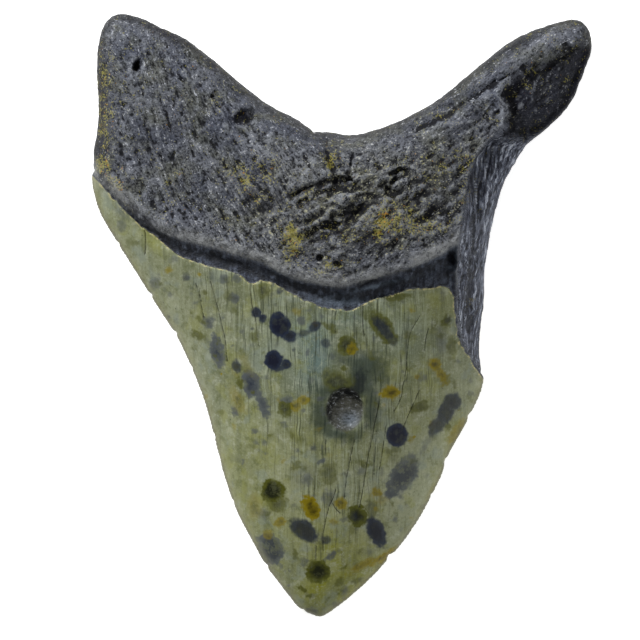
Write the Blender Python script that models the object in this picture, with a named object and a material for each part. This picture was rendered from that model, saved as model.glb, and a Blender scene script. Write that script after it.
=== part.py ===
"""A fossil megalodon tooth that lies on its labial face: root, bourlette and enamel crown, grown as one.

This file works in millimetres and turns them into Blender's metres when it makes the mesh.
Seen from above, +X runs right, +Y runs from the crown's tip to the root's lobes, and +Z comes up.
The origin is on the surface that the tooth lies on, under the middle of its outline.

Places are (column, row) in the reference photograph, which SLANT_HEIGHT turns into millimetres.
Heights, depths and widths are millimetres as they are, and so is what is given as across or above the tip.
"""

import math

import bmesh
import bpy
import numpy as np
from mathutils import Vector
from mathutils.geometry import delaunay_2d_cdt

# Driving dimensions, in millimetres
SLANT_HEIGHT = 139.2  # from the left lobe's corner to the crown's tip
ROOT_RIM = 5.0  # the root's rounded rim, over its widest line
UNDER_RIM = 6.8  # the rounding of the root's rim on its under side
CUTTING_RIM = 0.45  # the blunt cutting edge, over its widest line
EDGE_HEIGHT = 2.8  # the cutting edges over the surface the tooth lies on
ROOT_EDGE_HEIGHT = 7.0  # the root rim's widest line over that surface
LIP_WIDTH = 2.2  # the slope from the bourlette up to the root's swollen lip
LIP_SOFTER = 3.0  # how much wider that slope is on the left
LIP_SOFT_SPAN = (-38.0, -8.0)  # it widens between these places across the tooth
LIP_LOST = 20.0  # how much wider it is on the broken flank, where no lip is left
LIP_LOST_WITHIN = 1.5  # the lip is lost this far past the line of the break
ENAMEL_STEP = 0.5  # the enamel's broken upper edge over the bourlette
ENAMEL_STEP_SLOPE = 0.5
LABIAL_STEP = 0.4  # the enamel's edge on the labial face, and how far from it the step fades out
LABIAL_STEP_SLOPE = 0.6
LABIAL_STEP_FADE = 12.0
EDGE_ROUND = 0.8  # the width of the cutting edges' rounding
NOTCH_SLOPE = 14.0  # how far in from the notch the root goes on rising
RELIEF_FADE = 1.8  # relief starts this far in from the outline

# The line between the shoulders parts the thin crown from the thick root, as (across, height above the tip)
SHOULDERS = ((-54.8, 93.5), (31.5, 54.0))
ROOT_BLEND = 14.0  # above that line the under side is the root's from here on
ROOT_THICKENING = 30.0  # and from here on the root has its full thickness
# The right shoulder is broken away. Spans are heights above the tip, as (start, full) and (full, end).
MISSING_SHOULDER = 9.5  # how much further out the blade's curve would have closed
MISSING_SPAN = ((50.0, 70.0), (87.0, 112.0))
BREAK_SPAN = ((51.0, 58.0), (103.0, 112.0))
BREAK_CURVE = 0.8  # below 1 the flank bulges

# How full the cross-sections are: 1 is a parabola, less is fuller
CROWN_FULLNESS = 0.85
ROOT_FULLNESS = 0.7
BELLY_FULLNESS = 0.75

MOST_TRIANGLES = 9600
SHARP_ANGLE = 50

METRE = 0.001  # one millimetre, in Blender's metres

# The outline, clockwise from the left lobe's top. Each edge ends where the next one starts.
SLANT_ENDS = ((105, 22), (320, 617))
NOTCH_EDGE = [
    (121, 14), (143, 19), (163, 28.5), (184, 38), (202, 51), (219, 65), (237, 81), (255, 95),
    (274, 107.5), (294, 118), (311, 129), (317, 131.5), (333, 133), (350, 135), (367, 132.5),
    (388, 125.5), (408, 117), (428, 106), (446, 93.5), (464, 79), (482, 64), (500, 49.5),
    (519, 37), (539, 28.5), (560, 22), (572, 20),
]  # fmt: skip
RIGHT_EDGE = [
    (583, 23), (590, 34), (591, 50), (586, 66), (579, 84), (575, 95), (567, 108), (555, 121),
    (540, 134), (527, 144.5), (516, 161), (505, 181), (498, 201), (493, 221), (488, 247),
    (484.5, 270), (484, 300), (481, 325), (479.5, 352), (481.5, 368), (484, 379), (480, 394),
    (466, 424), (450, 452), (443, 472), (431, 497), (419, 519), (404, 541), (385, 563),
    (368, 581), (345, 601), (329, 613),
]  # fmt: skip
LEFT_EDGE = [
    (320, 617), (310, 614), (301, 610), (286, 592), (269, 570), (252, 541), (238, 514), (229, 491),
    (221, 464), (213, 433), (204, 400), (192, 369), (177, 337), (166, 320), (148, 292),
    (132, 266), (116, 240), (101, 215), (94, 195), (91.5, 176), (93.5, 162), (93.5, 150),
    (97, 132), (98.5, 108), (97.5, 84), (97, 60), (98.5, 42), (103, 27), (111, 17.5),
]  # fmt: skip

# Lines on the lingual face, from left to right
LIP = [
    (91, 172), (112, 193), (138, 217), (160, 231), (180, 239), (204, 246), (229, 253), (260, 263),
    (293, 278), (326, 286), (346, 287), (368, 281), (393, 274), (409, 268.5), (434, 258),
    (452, 248), (470, 235), (492, 214),
]  # fmt: skip
ENAMEL_EDGE = [
    (90, 173), (97, 180), (106.5, 190), (118, 203), (131, 216), (145, 228), (158, 238), (173, 251),
    (188, 259), (208, 265), (229, 271), (243, 276), (251, 283), (262, 280), (279, 286), (296, 296),
    (312, 302), (329, 307.5), (351, 309), (366, 302.5), (384, 296), (409, 290), (434, 287.5),
    (446, 287.5), (452, 294), (455, 314), (457, 336), (464, 349), (472, 362), (479, 372), (486, 381),
]  # fmt: skip
BOURLETTE = [(110, 190), (138, 222), (180, 246), (229, 262), (293, 287), (346, 297), (409, 279), (450, 262)]
BREAK_LINE = [
    (500, 127), (484, 145), (471, 165), (465, 190), (460, 225), (456, 255), (455, 290), (457, 320),
    (461, 340), (470, 357), (481, 374),
]  # fmt: skip

# How far the middle of the crown stands over its cutting edges, and the middle of the root over its rim,
# as (height above the tip, swell)
CROWN_SWELL = [
    (-6, 0.0), (0, 0.5), (6, 2.8), (16, 6.3), (30, 10.2), (45, 13.5), (58, 15.7), (68, 16.6), (80, 16.8),
    (134, 16.8),
]  # fmt: skip
ROOT_SWELL = [
    (-6, 15.0), (54, 15.0), (70, 14.6), (80, 13.2), (90, 10.8), (100, 8.2), (110, 6.2), (122, 4.6),
    (136, 3.6),
]  # fmt: skip

# Relief on the lingual face: hollows and lumps are (place, half-axes, turn in degrees, depth or height)
HOLLOWS = [
    ((137, 67), (0.8, 1.45), -8, 2.6),
    ((245, 118), (2.8, 1.8), 20, 1.0),
    ((213, 97), (0.6, 0.6), 0, 0.6),
    ((345, 186), (3.0, 2.2), 0, 1.3),
    ((400, 176), (2.0, 1.4), 35, 0.9),
    ((388, 192), (1.4, 1.1), 0, 0.8),
    ((434, 214), (3.4, 1.5), 30, 0.8),
    ((322, 233), (4.4, 2.2), 25, 0.9),
    ((337, 264), (1.0, 1.0), 0, 0.7),
    ((320, 258), (0.6, 0.6), 0, 0.7),
    ((451, 259), (1.0, 1.7), 8, 1.6),
    ((345, 409.5), (4.0, 4.7), 0, 1.9),
]
HOLLOW_EDGE = 1.15  # the wall starts at this many half-axes, and takes up this many
HOLLOW_WALL = 0.65
# The worn scoop of the right lobe lies below and right of this line, within an ellipse.
SCOOP_EDGE = [(574, 42), (560, 50), (543, 61), (520, 71), (505, 82), (499, 93), (503, 110), (503, 127)]
SCOOP_REACH = ((548, 90), (14.0, 8.6), 33)
SCOOP_DEPTH = 2.3
SCOOP_WALL = 2.4
LUMPS = [
    ((335, 240), (23.0, 11.0), -3, 2.6),
    ((346, 197), (1.8, 1.7), 0, 1.2),
    ((401, 182), (1.5, 1.0), 35, 0.5),
    ((275, 150), (13.0, 5.0), -30, 0.9),
    ((160, 95), (9.0, 12.0), -30, 0.9),
    ((535, 52), (9.0, 1.8), 33, 0.7),
]
# Furrows and ridges are (places along it, half-width, depth or height)
FURROWS = [
    ([(324, 140), (326, 150), (331, 166), (336, 180)], 0.6, 0.8),
    ([(353, 154), (351, 164), (349, 175)], 0.6, 0.7),
    ([(293, 197), (302, 191), (311, 187.5), (322, 184), (335, 182)], 0.9, 1.2),
    ([(300, 204), (313, 196), (325, 192), (334, 191)], 0.7, 0.7),
    ([(340, 226), (354, 212), (372, 199), (390, 191)], 2.0, 1.5),
    ([(418, 129), (445, 114), (472, 97), (490, 86), (516, 72), (543, 61), (567, 47)], 1.1, 1.1),
    ([(255, 103), (282, 120), (310, 136)], 1.2, 0.3),
    (BOURLETTE, 1.6, 0.9),
    ([(478, 185), (474, 230), (470, 280), (469, 330)], 0.8, 0.5),
]
RIDGES = [
    (BREAK_LINE, 0.8, 0.5),
    ([(498, 92), (503, 110), (503, 127)], 0.8, 0.8),
    ([(486, 190), (481, 235), (477, 290), (475, 340)], 0.8, 0.5),
]

# Relief on the labial face, which stands a little off the surface between the places it rests on
LABIAL_ENAMEL_EDGE = [
    (88, 172), (120, 205), (170, 238), (240, 262), (320, 270), (400, 262), (452, 266), (490, 300),
]  # fmt: skip
LABIAL_ARCHES = [
    ((340, 176), (24.0, 20.0), 0, 1.7),
    ((333, 325), (20.0, 13.0), 0, 0.8),
    ((320, 612), (9.0, 9.0), 0, 1.2),
]
LABIAL_HOLLOWS = [
    ((228, 150), (2.4, 1.5), 30, 0.9),
    ((372, 196), (1.6, 2.2), -10, 0.9),
    ((455, 150), (1.6, 1.1), 40, 0.8),
]
RESTING_DEPTH = 0.26  # how far the swollen labial face is worn flat where it rests

# The mesh
OUTLINE_STEP = 1.1
RIM_ROWS = (0.16, 0.55, 1.2, 2.1, 3.2)  # how far in from the outline each row of points lies
LATTICE_STEP = 0.95
LATTICE_START = 3.9  # the lattice starts this far in, and all other inner points start at INNER_START
INNER_START = 0.5
EDGE_ROWS = (-0.3, 0.3)  # rows of points on both sides of the enamel's edge
EDGE_ROW_STEP = 0.9
EDGE_CLEARANCE = 0.75  # the lattice keeps this far from the enamel's edge
PIT_RINGS = (0.0, 0.45, 0.8, 1.15)  # rings of points in and around a small hollow, in half-axes
PIT_STEP = 0.6
PIT_CLEARANCE = 1.4  # the lattice keeps this many half-axes from a small hollow's middle
SAME_POINT = 0.02  # points closer than this are one


def curve(points, step=0.45):
    """Points about a step apart on the smooth curve through these ones, a centripetal Catmull-Rom spline."""
    points = np.array(points, float)
    ends = 2 * points[0] - points[1], 2 * points[-1] - points[-2]
    knots = np.vstack([ends[0], points, ends[1]])
    made = []
    for a, b, c, d in zip(knots, knots[1:], knots[2:], knots[3:]):
        t1, t2, t3 = np.cumsum([math.dist(p, q) ** 0.5 for p, q in ((a, b), (b, c), (c, d))])
        count = max(2, round(math.dist(b, c) / step))
        t = np.linspace(t1, t2, count, endpoint=False)[:, None]
        ab = a + (b - a) * t / t1
        bc = b + (c - b) * (t - t1) / (t2 - t1)
        cd = c + (d - c) * (t - t2) / (t3 - t2)
        abc = ab + (bc - ab) * t / t2
        bcd = bc + (cd - bc) * (t - t1) / (t3 - t1)
        made.append(abc + (bcd - abc) * (t - t1) / (t2 - t1))
    return np.vstack([*made, points[-1:]])


PIXEL = SLANT_HEIGHT / math.dist(*SLANT_ENDS)  # one pixel of the photograph, in millimetres
PIXEL_OUTLINE = np.array(NOTCH_EDGE + RIGHT_EDGE + LEFT_EDGE)
MIDDLE = (PIXEL_OUTLINE.min(0) + PIXEL_OUTLINE.max(0)) / 2


def place(points):
    """Columns and rows of the photograph, in millimetres from the middle of the outline."""
    return (np.array(points, float) - MIDDLE) * (PIXEL, -PIXEL)


def outline_edges():
    """The notch, right and left edges as smooth curves that meet end to end."""
    loop = place(NOTCH_EDGE + RIGHT_EDGE + LEFT_EDGE)
    count = len(loop)
    around = curve(np.vstack([loop[-1:], loop, loop[:2]]))
    corners = [0, len(NOTCH_EDGE) - 1, len(NOTCH_EDGE) + len(RIGHT_EDGE), count]
    at = [int(np.linalg.norm(around - loop[i % count], axis=1).argmin()) for i in corners[:3]]
    ends = [*at[1:], len(around)]
    edges = [around[a : b + 1] for a, b in zip(at, ends)]
    closing = int(np.linalg.norm(edges[2] - loop[0], axis=1).argmin())
    return [edges[0], edges[1], edges[2][: closing + 1]]


def distance(points, path):
    """How far each point is from the path: positive to the left of its direction, negative to the right."""
    nearest = np.full(len(points), np.inf)
    signed = np.zeros(len(points))
    for start, along in zip(path, np.diff(path, axis=0)):
        offset = points - start
        share = np.clip(offset @ along / (along @ along), 0, 1)
        offset = offset - share[:, None] * along
        far = np.hypot(*offset.T)
        closer = far < nearest
        nearest[closer] = far[closer]
        turn = along[0] * offset[:, 1] - along[1] * offset[:, 0]
        signed[closer] = np.where(turn < 0, -far, far)[closer]
    return signed


def ease(share):
    """0 before 0, 1 after 1, and smooth between."""
    share = np.clip(share, 0, 1)
    return share * share * (3 - 2 * share)


def roll(far, width):
    """The rise of a quarter round: 0 on the edge, 1 from a width away."""
    return np.sqrt(1 - (1 - np.clip(far / width, 0, 1)) ** 2)


def reach(points, middle, half_axes, turn):
    """How far each point is from a place, in half-axes of the turned ellipse round it."""
    cos, sin = math.cos(math.radians(turn)), math.sin(math.radians(turn))
    x, y = (points - place(middle)).T
    return np.hypot((x * cos + y * sin) / half_axes[0], (y * cos - x * sin) / half_axes[1])


def lumps(points, listed):
    """The height of soft round lumps."""
    return sum(height * np.exp(-(reach(points, *where) ** 2)) for *where, height in listed)


def hollows(points, listed):
    """The depth of hollows with a flat floor and a steep wall."""
    return sum(depth * ease((HOLLOW_EDGE - reach(points, *where)) / HOLLOW_WALL) for *where, depth in listed)


def scoop(points):
    """The depth of the right lobe's worn scoop."""
    past = distance(points, curve(place(SCOOP_EDGE)))
    near = ease((HOLLOW_EDGE - reach(points, *SCOOP_REACH)) / HOLLOW_WALL)
    return SCOOP_DEPTH * ease(past / SCOOP_WALL) * near


def grooves(points, listed):
    """The depth of furrows, or the height of ridges, along their paths."""
    made = np.zeros(len(points))
    for path, width, depth in listed:
        far = distance(points, curve(place(path), 1.0))
        made += depth * np.exp(-((far / width) ** 2))
    return made


def between(values, rise, fall):
    """1 between two soft limits and 0 outside them."""
    up = ease((values - rise[0]) / (rise[1] - rise[0]))
    down = ease((fall[1] - values) / (fall[1] - fall[0]))
    return up * down


def rolled(edges, width):
    """The quarter rounds of all edges together: 0 on the outline, 1 inside."""
    made = 1.0
    for edge in edges:
        made = made * roll(edge, width)
    return made


class Form:
    """Everything that both faces of the tooth share, at a set of points."""

    def __init__(self, points, edges):
        far = [np.abs(distance(points, edge)) for edge in edges]
        notch, right, left = far
        self.points = points
        self.inside = np.minimum(np.minimum(notch, right), left)
        self.above_tip = points[:, 1] - place(SLANT_ENDS[1])[1]
        (left_x, left_up), (right_x, right_up) = SHOULDERS
        shoulder_line = left_up + (points[:, 0] - left_x) * (right_up - left_up) / (right_x - left_x)
        self.rootness = ease((self.above_tip - shoulder_line) / ROOT_BLEND)
        thicker = ease((self.above_tip - shoulder_line) / ROOT_THICKENING)
        missing = MISSING_SHOULDER * between(self.above_tip, *MISSING_SPAN)
        across = left / (left + right + missing)
        self.lens = 4 * across * (1 - across)
        past_lip = distance(points, curve(place(LIP)))
        past_break = distance(points, curve(place(BREAK_LINE)))
        soft_end, soft_start = LIP_SOFT_SPAN
        on_the_left = ease((soft_start - points[:, 0]) / (soft_start - soft_end))
        lip_width = LIP_WIDTH + LIP_SOFTER * on_the_left + LIP_LOST * ease(past_break / LIP_LOST_WITHIN)
        self.lip = ease(past_lip / lip_width + 0.5)
        self.rim_rolls = rolled(far, ROOT_RIM)
        self.edge_rolls = rolled(far, EDGE_ROUND)
        self.under_rolls = rolled(far, UNDER_RIM)
        self.notch_slope = roll(notch, NOTCH_SLOPE)
        # Past the line of the break the missing shoulder leaves a steep flank, down to the right edge.
        share = right / np.maximum(right + np.maximum(0, past_break), SAME_POINT)
        self.flank = 1 - (1 - share**BREAK_CURVE) * between(self.above_tip, *BREAK_SPAN)
        self.edge = EDGE_HEIGHT + (ROOT_EDGE_HEIGHT - EDGE_HEIGHT) * thicker
        self.fade = ease(self.inside / RELIEF_FADE)


def lingual_height(form):
    """The height of the upper face, the one with the swollen root and the bourlette."""
    crown = np.interp(form.above_tip, *curve(CROWN_SWELL).T) * form.lens**CROWN_FULLNESS
    root = np.interp(form.above_tip, *curve(ROOT_SWELL).T) * form.lens**ROOT_FULLNESS * form.notch_slope
    crown = crown * form.flank + CUTTING_RIM * form.edge_rolls
    root = root * form.flank + ROOT_RIM * form.rim_rolls
    past_enamel = -distance(form.points, curve(place(ENAMEL_EDGE)))
    relief = ENAMEL_STEP * ease(past_enamel / ENAMEL_STEP_SLOPE + 0.5)
    relief += lumps(form.points, LUMPS) - hollows(form.points, HOLLOWS) - scoop(form.points)
    relief += grooves(form.points, RIDGES) - grooves(form.points, FURROWS)
    return form.edge + crown + (root - crown) * form.lip + relief * form.fade


def labial_height(form):
    """The height of the under face, nearly flat, which rests on both lobes and on the crown's middle."""
    belly = form.lens**BELLY_FULLNESS * (1 - form.rootness) + form.under_rolls * form.rootness
    hangs = form.edge * (1 - belly)
    past_enamel = -distance(form.points, curve(place(LABIAL_ENAMEL_EDGE)))
    relief = lumps(form.points, LABIAL_ARCHES) + hollows(form.points, LABIAL_HOLLOWS)
    near_step = np.exp(-((past_enamel / LABIAL_STEP_FADE) ** 2))
    relief += LABIAL_STEP * ease(0.5 - past_enamel / LABIAL_STEP_SLOPE) * near_step
    return np.maximum(0, hangs + (relief - RESTING_DEPTH) * belly)


def spaced(path, step):
    """Points a step apart along a path, without its end."""
    run = np.r_[0, np.cumsum(np.hypot(*np.diff(path, axis=0).T))]
    at = np.linspace(0, run[-1], max(2, round(run[-1] / step)), endpoint=False)
    return np.stack([np.interp(at, run, axis) for axis in path.T], 1)


def beside(path, far, step):
    """Points a step apart along the line that runs beside a path, to the left of it."""
    points = spaced(path, step)
    ahead = np.gradient(points, axis=0)
    ahead /= np.hypot(*ahead.T)[:, None]
    return points + far * np.stack([-ahead[:, 1], ahead[:, 0]], 1)


def rings(listed):
    """Points on ellipses in and around small hollows, so that their walls are in the mesh."""
    made = []
    for middle, half_axes, turn, _ in listed:
        for share in PIT_RINGS:
            count = max(1, round(2 * math.pi * share * max(half_axes) / PIT_STEP))
            angles = np.linspace(0, 2 * math.pi, count, endpoint=False)
            flat = share * np.stack([np.cos(angles) * half_axes[0], np.sin(angles) * half_axes[1]], 1)
            cos, sin = math.cos(math.radians(turn)), math.sin(math.radians(turn))
            made.append(place(middle) + flat @ np.array([[cos, sin], [-sin, cos]]))
    return np.vstack(made)


def lattice(low, high, step):
    """Points of a triangular lattice over a rectangle."""
    rows = np.arange(low[1], high[1], step * math.sqrt(3) / 2)
    columns = np.arange(low[0], high[0], step)
    x, y = np.meshgrid(columns, rows)
    x[1::2] += step / 2
    return np.stack([x.ravel(), y.ravel()], 1)


def sheet(edges, small_hollows, enamel_edge):
    """The flat layout of one face: its points, the outline's first, and its triangles."""
    outline = np.vstack([spaced(edge, OUTLINE_STEP) for edge in edges])
    closed = np.vstack([outline, outline[:1]])
    rows = []
    for far in RIM_ROWS:
        row = beside(closed, -far, OUTLINE_STEP)
        rows.append(row[np.abs(distance(row, closed)) > far - SAME_POINT])
    pits = rings(small_hollows)
    step_rows = np.vstack([beside(enamel_edge, far, EDGE_ROW_STEP) for far in EDGE_ROWS])
    field = lattice(outline.min(0), outline.max(0), LATTICE_STEP)
    near_edge = np.abs(distance(field, enamel_edge)) < EDGE_CLEARANCE
    in_pit = np.zeros(len(field), bool)
    for middle, half_axes, turn, _ in small_hollows:
        in_pit |= reach(field, middle, half_axes, turn) < PIT_CLEARANCE
    field = field[~near_edge & ~in_pit]
    inner = np.vstack([pits, step_rows])
    inner = inner[np.abs(distance(inner, closed)) > INNER_START]
    field = field[np.abs(distance(field, closed)) > LATTICE_START]
    points = np.vstack([outline, *rows, inner, field])
    count = len(outline)
    border = [(i, (i + 1) % count) for i in range(count)]
    inside_border = 1
    made = delaunay_2d_cdt([Vector(p) for p in points], border, [], inside_border, SAME_POINT)
    return np.array(made[0]), made[2], count


def face_points(edges, small_hollows, enamel_edge, height_of):
    """One face of the tooth as points in space and triangles. Its outline lies on the widest line."""
    flat, triangles, border = sheet(edges, small_hollows, enamel_edge)
    form = Form(flat, edges)
    height = height_of(form)
    height[:border] = form.edge[:border]
    return np.column_stack([flat, height]), triangles, border


def build_tooth(collection):
    """The whole tooth as one closed mesh: the two faces share the points of the outline."""
    edges = outline_edges()
    lingual_enamel = curve(place(ENAMEL_EDGE))
    labial_enamel = curve(place(LABIAL_ENAMEL_EDGE))
    upper, upper_triangles, border = face_points(edges, HOLLOWS, lingual_enamel, lingual_height)
    under, under_triangles, _ = face_points(edges, LABIAL_HOLLOWS, labial_enamel, labial_height)
    mesh = bmesh.new()
    top = [mesh.verts.new(point * METRE) for point in upper]
    bottom = top[:border] + [mesh.verts.new(point * METRE) for point in under[border:]]
    for triangle in upper_triangles:
        mesh.faces.new([top[i] for i in triangle])
    for triangle in under_triangles:
        mesh.faces.new([bottom[i] for i in reversed(triangle)])
    bmesh.ops.delete(mesh, geom=[vert for vert in mesh.verts if not vert.link_faces], context="VERTS")
    bmesh.ops.recalc_face_normals(mesh, faces=mesh.faces)
    data = bpy.data.meshes.new("tooth")
    mesh.to_mesh(data)
    mesh.free()
    data.shade_smooth()
    data.set_sharp_from_angle(angle=math.radians(SHARP_ANGLE))
    tooth = bpy.data.objects.new("tooth", data)
    collection.objects.link(tooth)
    fewer = tooth.modifiers.new("fewer triangles", "DECIMATE")
    fewer.ratio = MOST_TRIANGLES / len(data.polygons)
    return tooth


def fossil_material():
    """Mineral-stained root and enamel: dark slate grey with a dull shine."""
    material = bpy.data.materials.new("fossil tooth")
    material.use_nodes = True
    shader = material.node_tree.nodes["Principled BSDF"]
    shader.inputs["Base Color"].default_value = (0.13, 0.14, 0.12, 1.0)
    shader.inputs["Roughness"].default_value = 0.45
    shader.inputs["Metallic"].default_value = 0.0
    return material


def main():
    for leftover in list(bpy.data.objects):
        bpy.data.objects.remove(leftover)
    collection = bpy.data.collections.new("megalodon tooth")
    bpy.context.scene.collection.children.link(collection)
    tooth = build_tooth(collection)
    tooth.data.materials.append(fossil_material())


main()
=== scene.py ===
# %% [markdown]
# # A fossil megalodon tooth
# The tooth is one natural piece, and it lies on its flat labial face with the swollen lingual face up. The
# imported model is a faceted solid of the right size. This lesson builds a finer skin over the same form,
# with the grain, pits and cracks of the real thing, and then paints it with nodes only. Lengths are
# millimetres of the real tooth, and places are (column, row) of the photograph, a square of 640 by 640.

import math

import bpy
import numpy as np
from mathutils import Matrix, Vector, noise
from mathutils.geometry import delaunay_2d_cdt


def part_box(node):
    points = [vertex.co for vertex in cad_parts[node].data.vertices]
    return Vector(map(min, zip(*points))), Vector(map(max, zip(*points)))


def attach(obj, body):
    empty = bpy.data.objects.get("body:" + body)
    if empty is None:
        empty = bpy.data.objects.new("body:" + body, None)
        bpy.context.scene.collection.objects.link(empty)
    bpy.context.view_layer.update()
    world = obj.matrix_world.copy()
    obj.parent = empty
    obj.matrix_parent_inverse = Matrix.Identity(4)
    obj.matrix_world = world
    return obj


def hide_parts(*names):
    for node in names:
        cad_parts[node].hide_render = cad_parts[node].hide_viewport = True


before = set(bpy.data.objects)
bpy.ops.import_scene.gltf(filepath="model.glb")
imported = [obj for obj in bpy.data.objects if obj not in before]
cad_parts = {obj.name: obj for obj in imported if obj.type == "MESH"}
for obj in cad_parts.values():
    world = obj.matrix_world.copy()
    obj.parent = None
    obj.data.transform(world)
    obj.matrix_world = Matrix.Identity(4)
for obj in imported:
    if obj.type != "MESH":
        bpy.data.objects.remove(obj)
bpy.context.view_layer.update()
low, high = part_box("tooth")
REAL_WIDTH = 110.0  # of the tooth across its root, in millimetres
MM = (high.x - low.x) / REAL_WIDTH  # one millimetre of the real tooth, in the frame's metres
print("the solid is", [round(side / MM, 1) for side in high - low], "mm")

# %% [markdown]
# ## The outline
# Seen from above, a tooth is three edges that meet at corners: the notch between the root's lobes, the
# right edge and the left edge. A traced polygon would be angular, so a few points sit on each edge where it
# turns, and a centripetal Catmull-Rom spline runs through them. That kind of spline passes through its
# points and never loops.

# %% The outline's points
NOTCH_EDGE = [
    (121, 14), (143, 19), (163, 28.5), (184, 38), (202, 51), (219, 65), (237, 81), (255, 95),
    (274, 107.5), (294, 118), (311, 129), (317, 131.5), (333, 133), (350, 135), (367, 132.5),
    (388, 125.5), (408, 117), (428, 106), (446, 93.5), (464, 79), (482, 64), (500, 49.5),
    (519, 37), (539, 28.5), (560, 22), (572, 20),
]  # fmt: skip
RIGHT_EDGE = [
    (583, 23), (590, 34), (591, 50), (586, 66), (579, 84), (575, 95), (567, 108), (555, 121),
    (540, 134), (527, 144.5), (516, 161), (505, 181), (498, 201), (493, 221), (488, 247),
    (484.5, 270), (484, 300), (481, 325), (479.5, 352), (481.5, 368), (484, 379), (480, 394),
    (466, 424), (450, 452), (443, 472), (431, 497), (419, 519), (404, 541), (385, 563),
    (368, 581), (345, 601), (329, 613),
]  # fmt: skip
LEFT_EDGE = [
    (320, 617), (310, 614), (301, 610), (286, 592), (269, 570), (252, 541), (238, 514), (229, 491),
    (221, 464), (213, 433), (204, 400), (192, 369), (177, 337), (166, 320), (148, 292),
    (132, 266), (116, 240), (101, 215), (94, 195), (91.5, 176), (93.5, 162), (93.5, 150),
    (97, 132), (98.5, 108), (97.5, 84), (97, 60), (98.5, 42), (103, 27), (111, 17.5),
]  # fmt: skip
TIP = (320, 617)


def curve(points, step=0.45):
    """Points about a step apart on the smooth curve through these ones."""
    points = np.array(points, float)
    knots = np.vstack([2 * points[0] - points[1], points, 2 * points[-1] - points[-2]])
    made = []
    for a, b, c, d in zip(knots, knots[1:], knots[2:], knots[3:]):
        t1, t2, t3 = np.cumsum([math.dist(p, q) ** 0.5 for p, q in ((a, b), (b, c), (c, d))])
        t = np.linspace(t1, t2, max(2, round(math.dist(b, c) / step)), endpoint=False)[:, None]
        ab = a + (b - a) * t / t1
        bc = b + (c - b) * (t - t1) / (t2 - t1)
        cd = c + (d - c) * (t - t2) / (t3 - t2)
        abc = ab + (bc - ab) * t / t2
        bcd = bc + (cd - bc) * (t - t1) / (t3 - t1)
        made.append(abc + (bcd - abc) * (t - t1) / (t2 - t1))
    return np.vstack([*made, points[-1:]])


OUTLINE_POINTS = np.array(NOTCH_EDGE + RIGHT_EDGE + LEFT_EDGE)
MIDDLE = (OUTLINE_POINTS.min(0) + OUTLINE_POINTS.max(0)) / 2
PIXEL = REAL_WIDTH / np.ptp(OUTLINE_POINTS[:, 0])  # one pixel of the photograph, in millimetres


def place(points):
    """Columns and rows of the photograph, in millimetres from the middle of the outline."""
    return (np.array(points, float) - MIDDLE) * (PIXEL, -PIXEL)


def outline_edges():
    """The notch, right and left edges as smooth curves that meet end to end."""
    loop = place(OUTLINE_POINTS)
    around = curve(np.vstack([loop[-1:], loop, loop[:2]]))
    starts = loop[[0, len(NOTCH_EDGE) - 1, len(NOTCH_EDGE) + len(RIGHT_EDGE)]]
    at = [int(np.linalg.norm(around - start, axis=1).argmin()) for start in starts]
    edges = [around[a : b + 1] for a, b in zip(at, [*at[1:], len(around)])]
    closing = int(np.linalg.norm(edges[2] - loop[0], axis=1).argmin())
    return [edges[0], edges[1], edges[2][: closing + 1]]


EDGES = outline_edges()
CLOSED = np.vstack([EDGES[0][:-1], EDGES[1][:-1], EDGES[2]])
print("outline:", len(CLOSED), "points,", np.ptp(CLOSED, axis=0).round(1), "mm")

# %% [markdown]
# ## The camera
# The photograph looks straight down on the tooth. A long lens far above gives the flat view of such a
# picture, and its distance follows from how much of the floor the picture takes in.

# %% Make the camera
PICTURE = 640  # the photograph's side, in pixels
LENS = 600
SENSOR = 36
FOCUS_HEIGHT = 6.0  # the height at which the picture's scale holds, in millimetres


def add_camera():
    """A camera straight over the middle of the photograph."""
    camera = bpy.data.objects.new("camera", bpy.data.cameras.new("camera"))
    bpy.context.scene.collection.objects.link(camera)
    camera.data.lens = LENS
    camera.data.sensor_width = SENSOR
    x, y = place((PICTURE / 2, PICTURE / 2)) * MM
    camera.location = (x, y, (FOCUS_HEIGHT + PICTURE * PIXEL * LENS / SENSOR) * MM)
    bpy.context.scene.camera = camera
    return camera


camera = add_camera()
print("camera at", [round(c, 3) for c in camera.location])

# %% [markdown]
# ## Distances
# Nearly everything on a tooth follows a line: the root's rim follows the outline, the bourlette follows the
# enamel's edge, cracks run down the crown. So one function measures how far points are from a line, with a
# sign for the side, and soft steps and quarter rounds turn distances into heights. NumPy does this for all
# points at once.

# %% Measure distances
def distance(points, path, limit=None):
    """How far each point is from the path: positive to the left of its direction, negative to the right.
    With a limit, points that are further than that from the path's box are left at that distance."""
    if limit is not None:
        near = np.all((points > path.min(0) - limit) & (points < path.max(0) + limit), axis=1)
        signed = np.full(len(points), float(limit))
        if near.any():
            signed[near] = distance(points[near], path)
        return signed
    nearest = np.full(len(points), np.inf)
    signed = np.zeros(len(points))
    for start, along in zip(path, np.diff(path, axis=0)):
        offset = points - start
        share = np.clip(offset @ along / (along @ along), 0, 1)
        offset = offset - share[:, None] * along
        far = offset[:, 0] ** 2 + offset[:, 1] ** 2
        closer = far < nearest
        nearest[closer] = far[closer]
        turn = along[0] * offset[:, 1] - along[1] * offset[:, 0]
        signed[closer] = np.where(turn < 0, -1, 1)[closer]
    return signed * np.sqrt(nearest)


def ease(share):
    """0 before 0, 1 after 1, and smooth between."""
    share = np.clip(share, 0, 1)
    return share * share * (3 - 2 * share)


def roll(far, width):
    """The rise of a quarter round: 0 on the edge, 1 from a width away."""
    return np.sqrt(1 - (1 - np.clip(far / width, 0, 1)) ** 2)


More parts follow.
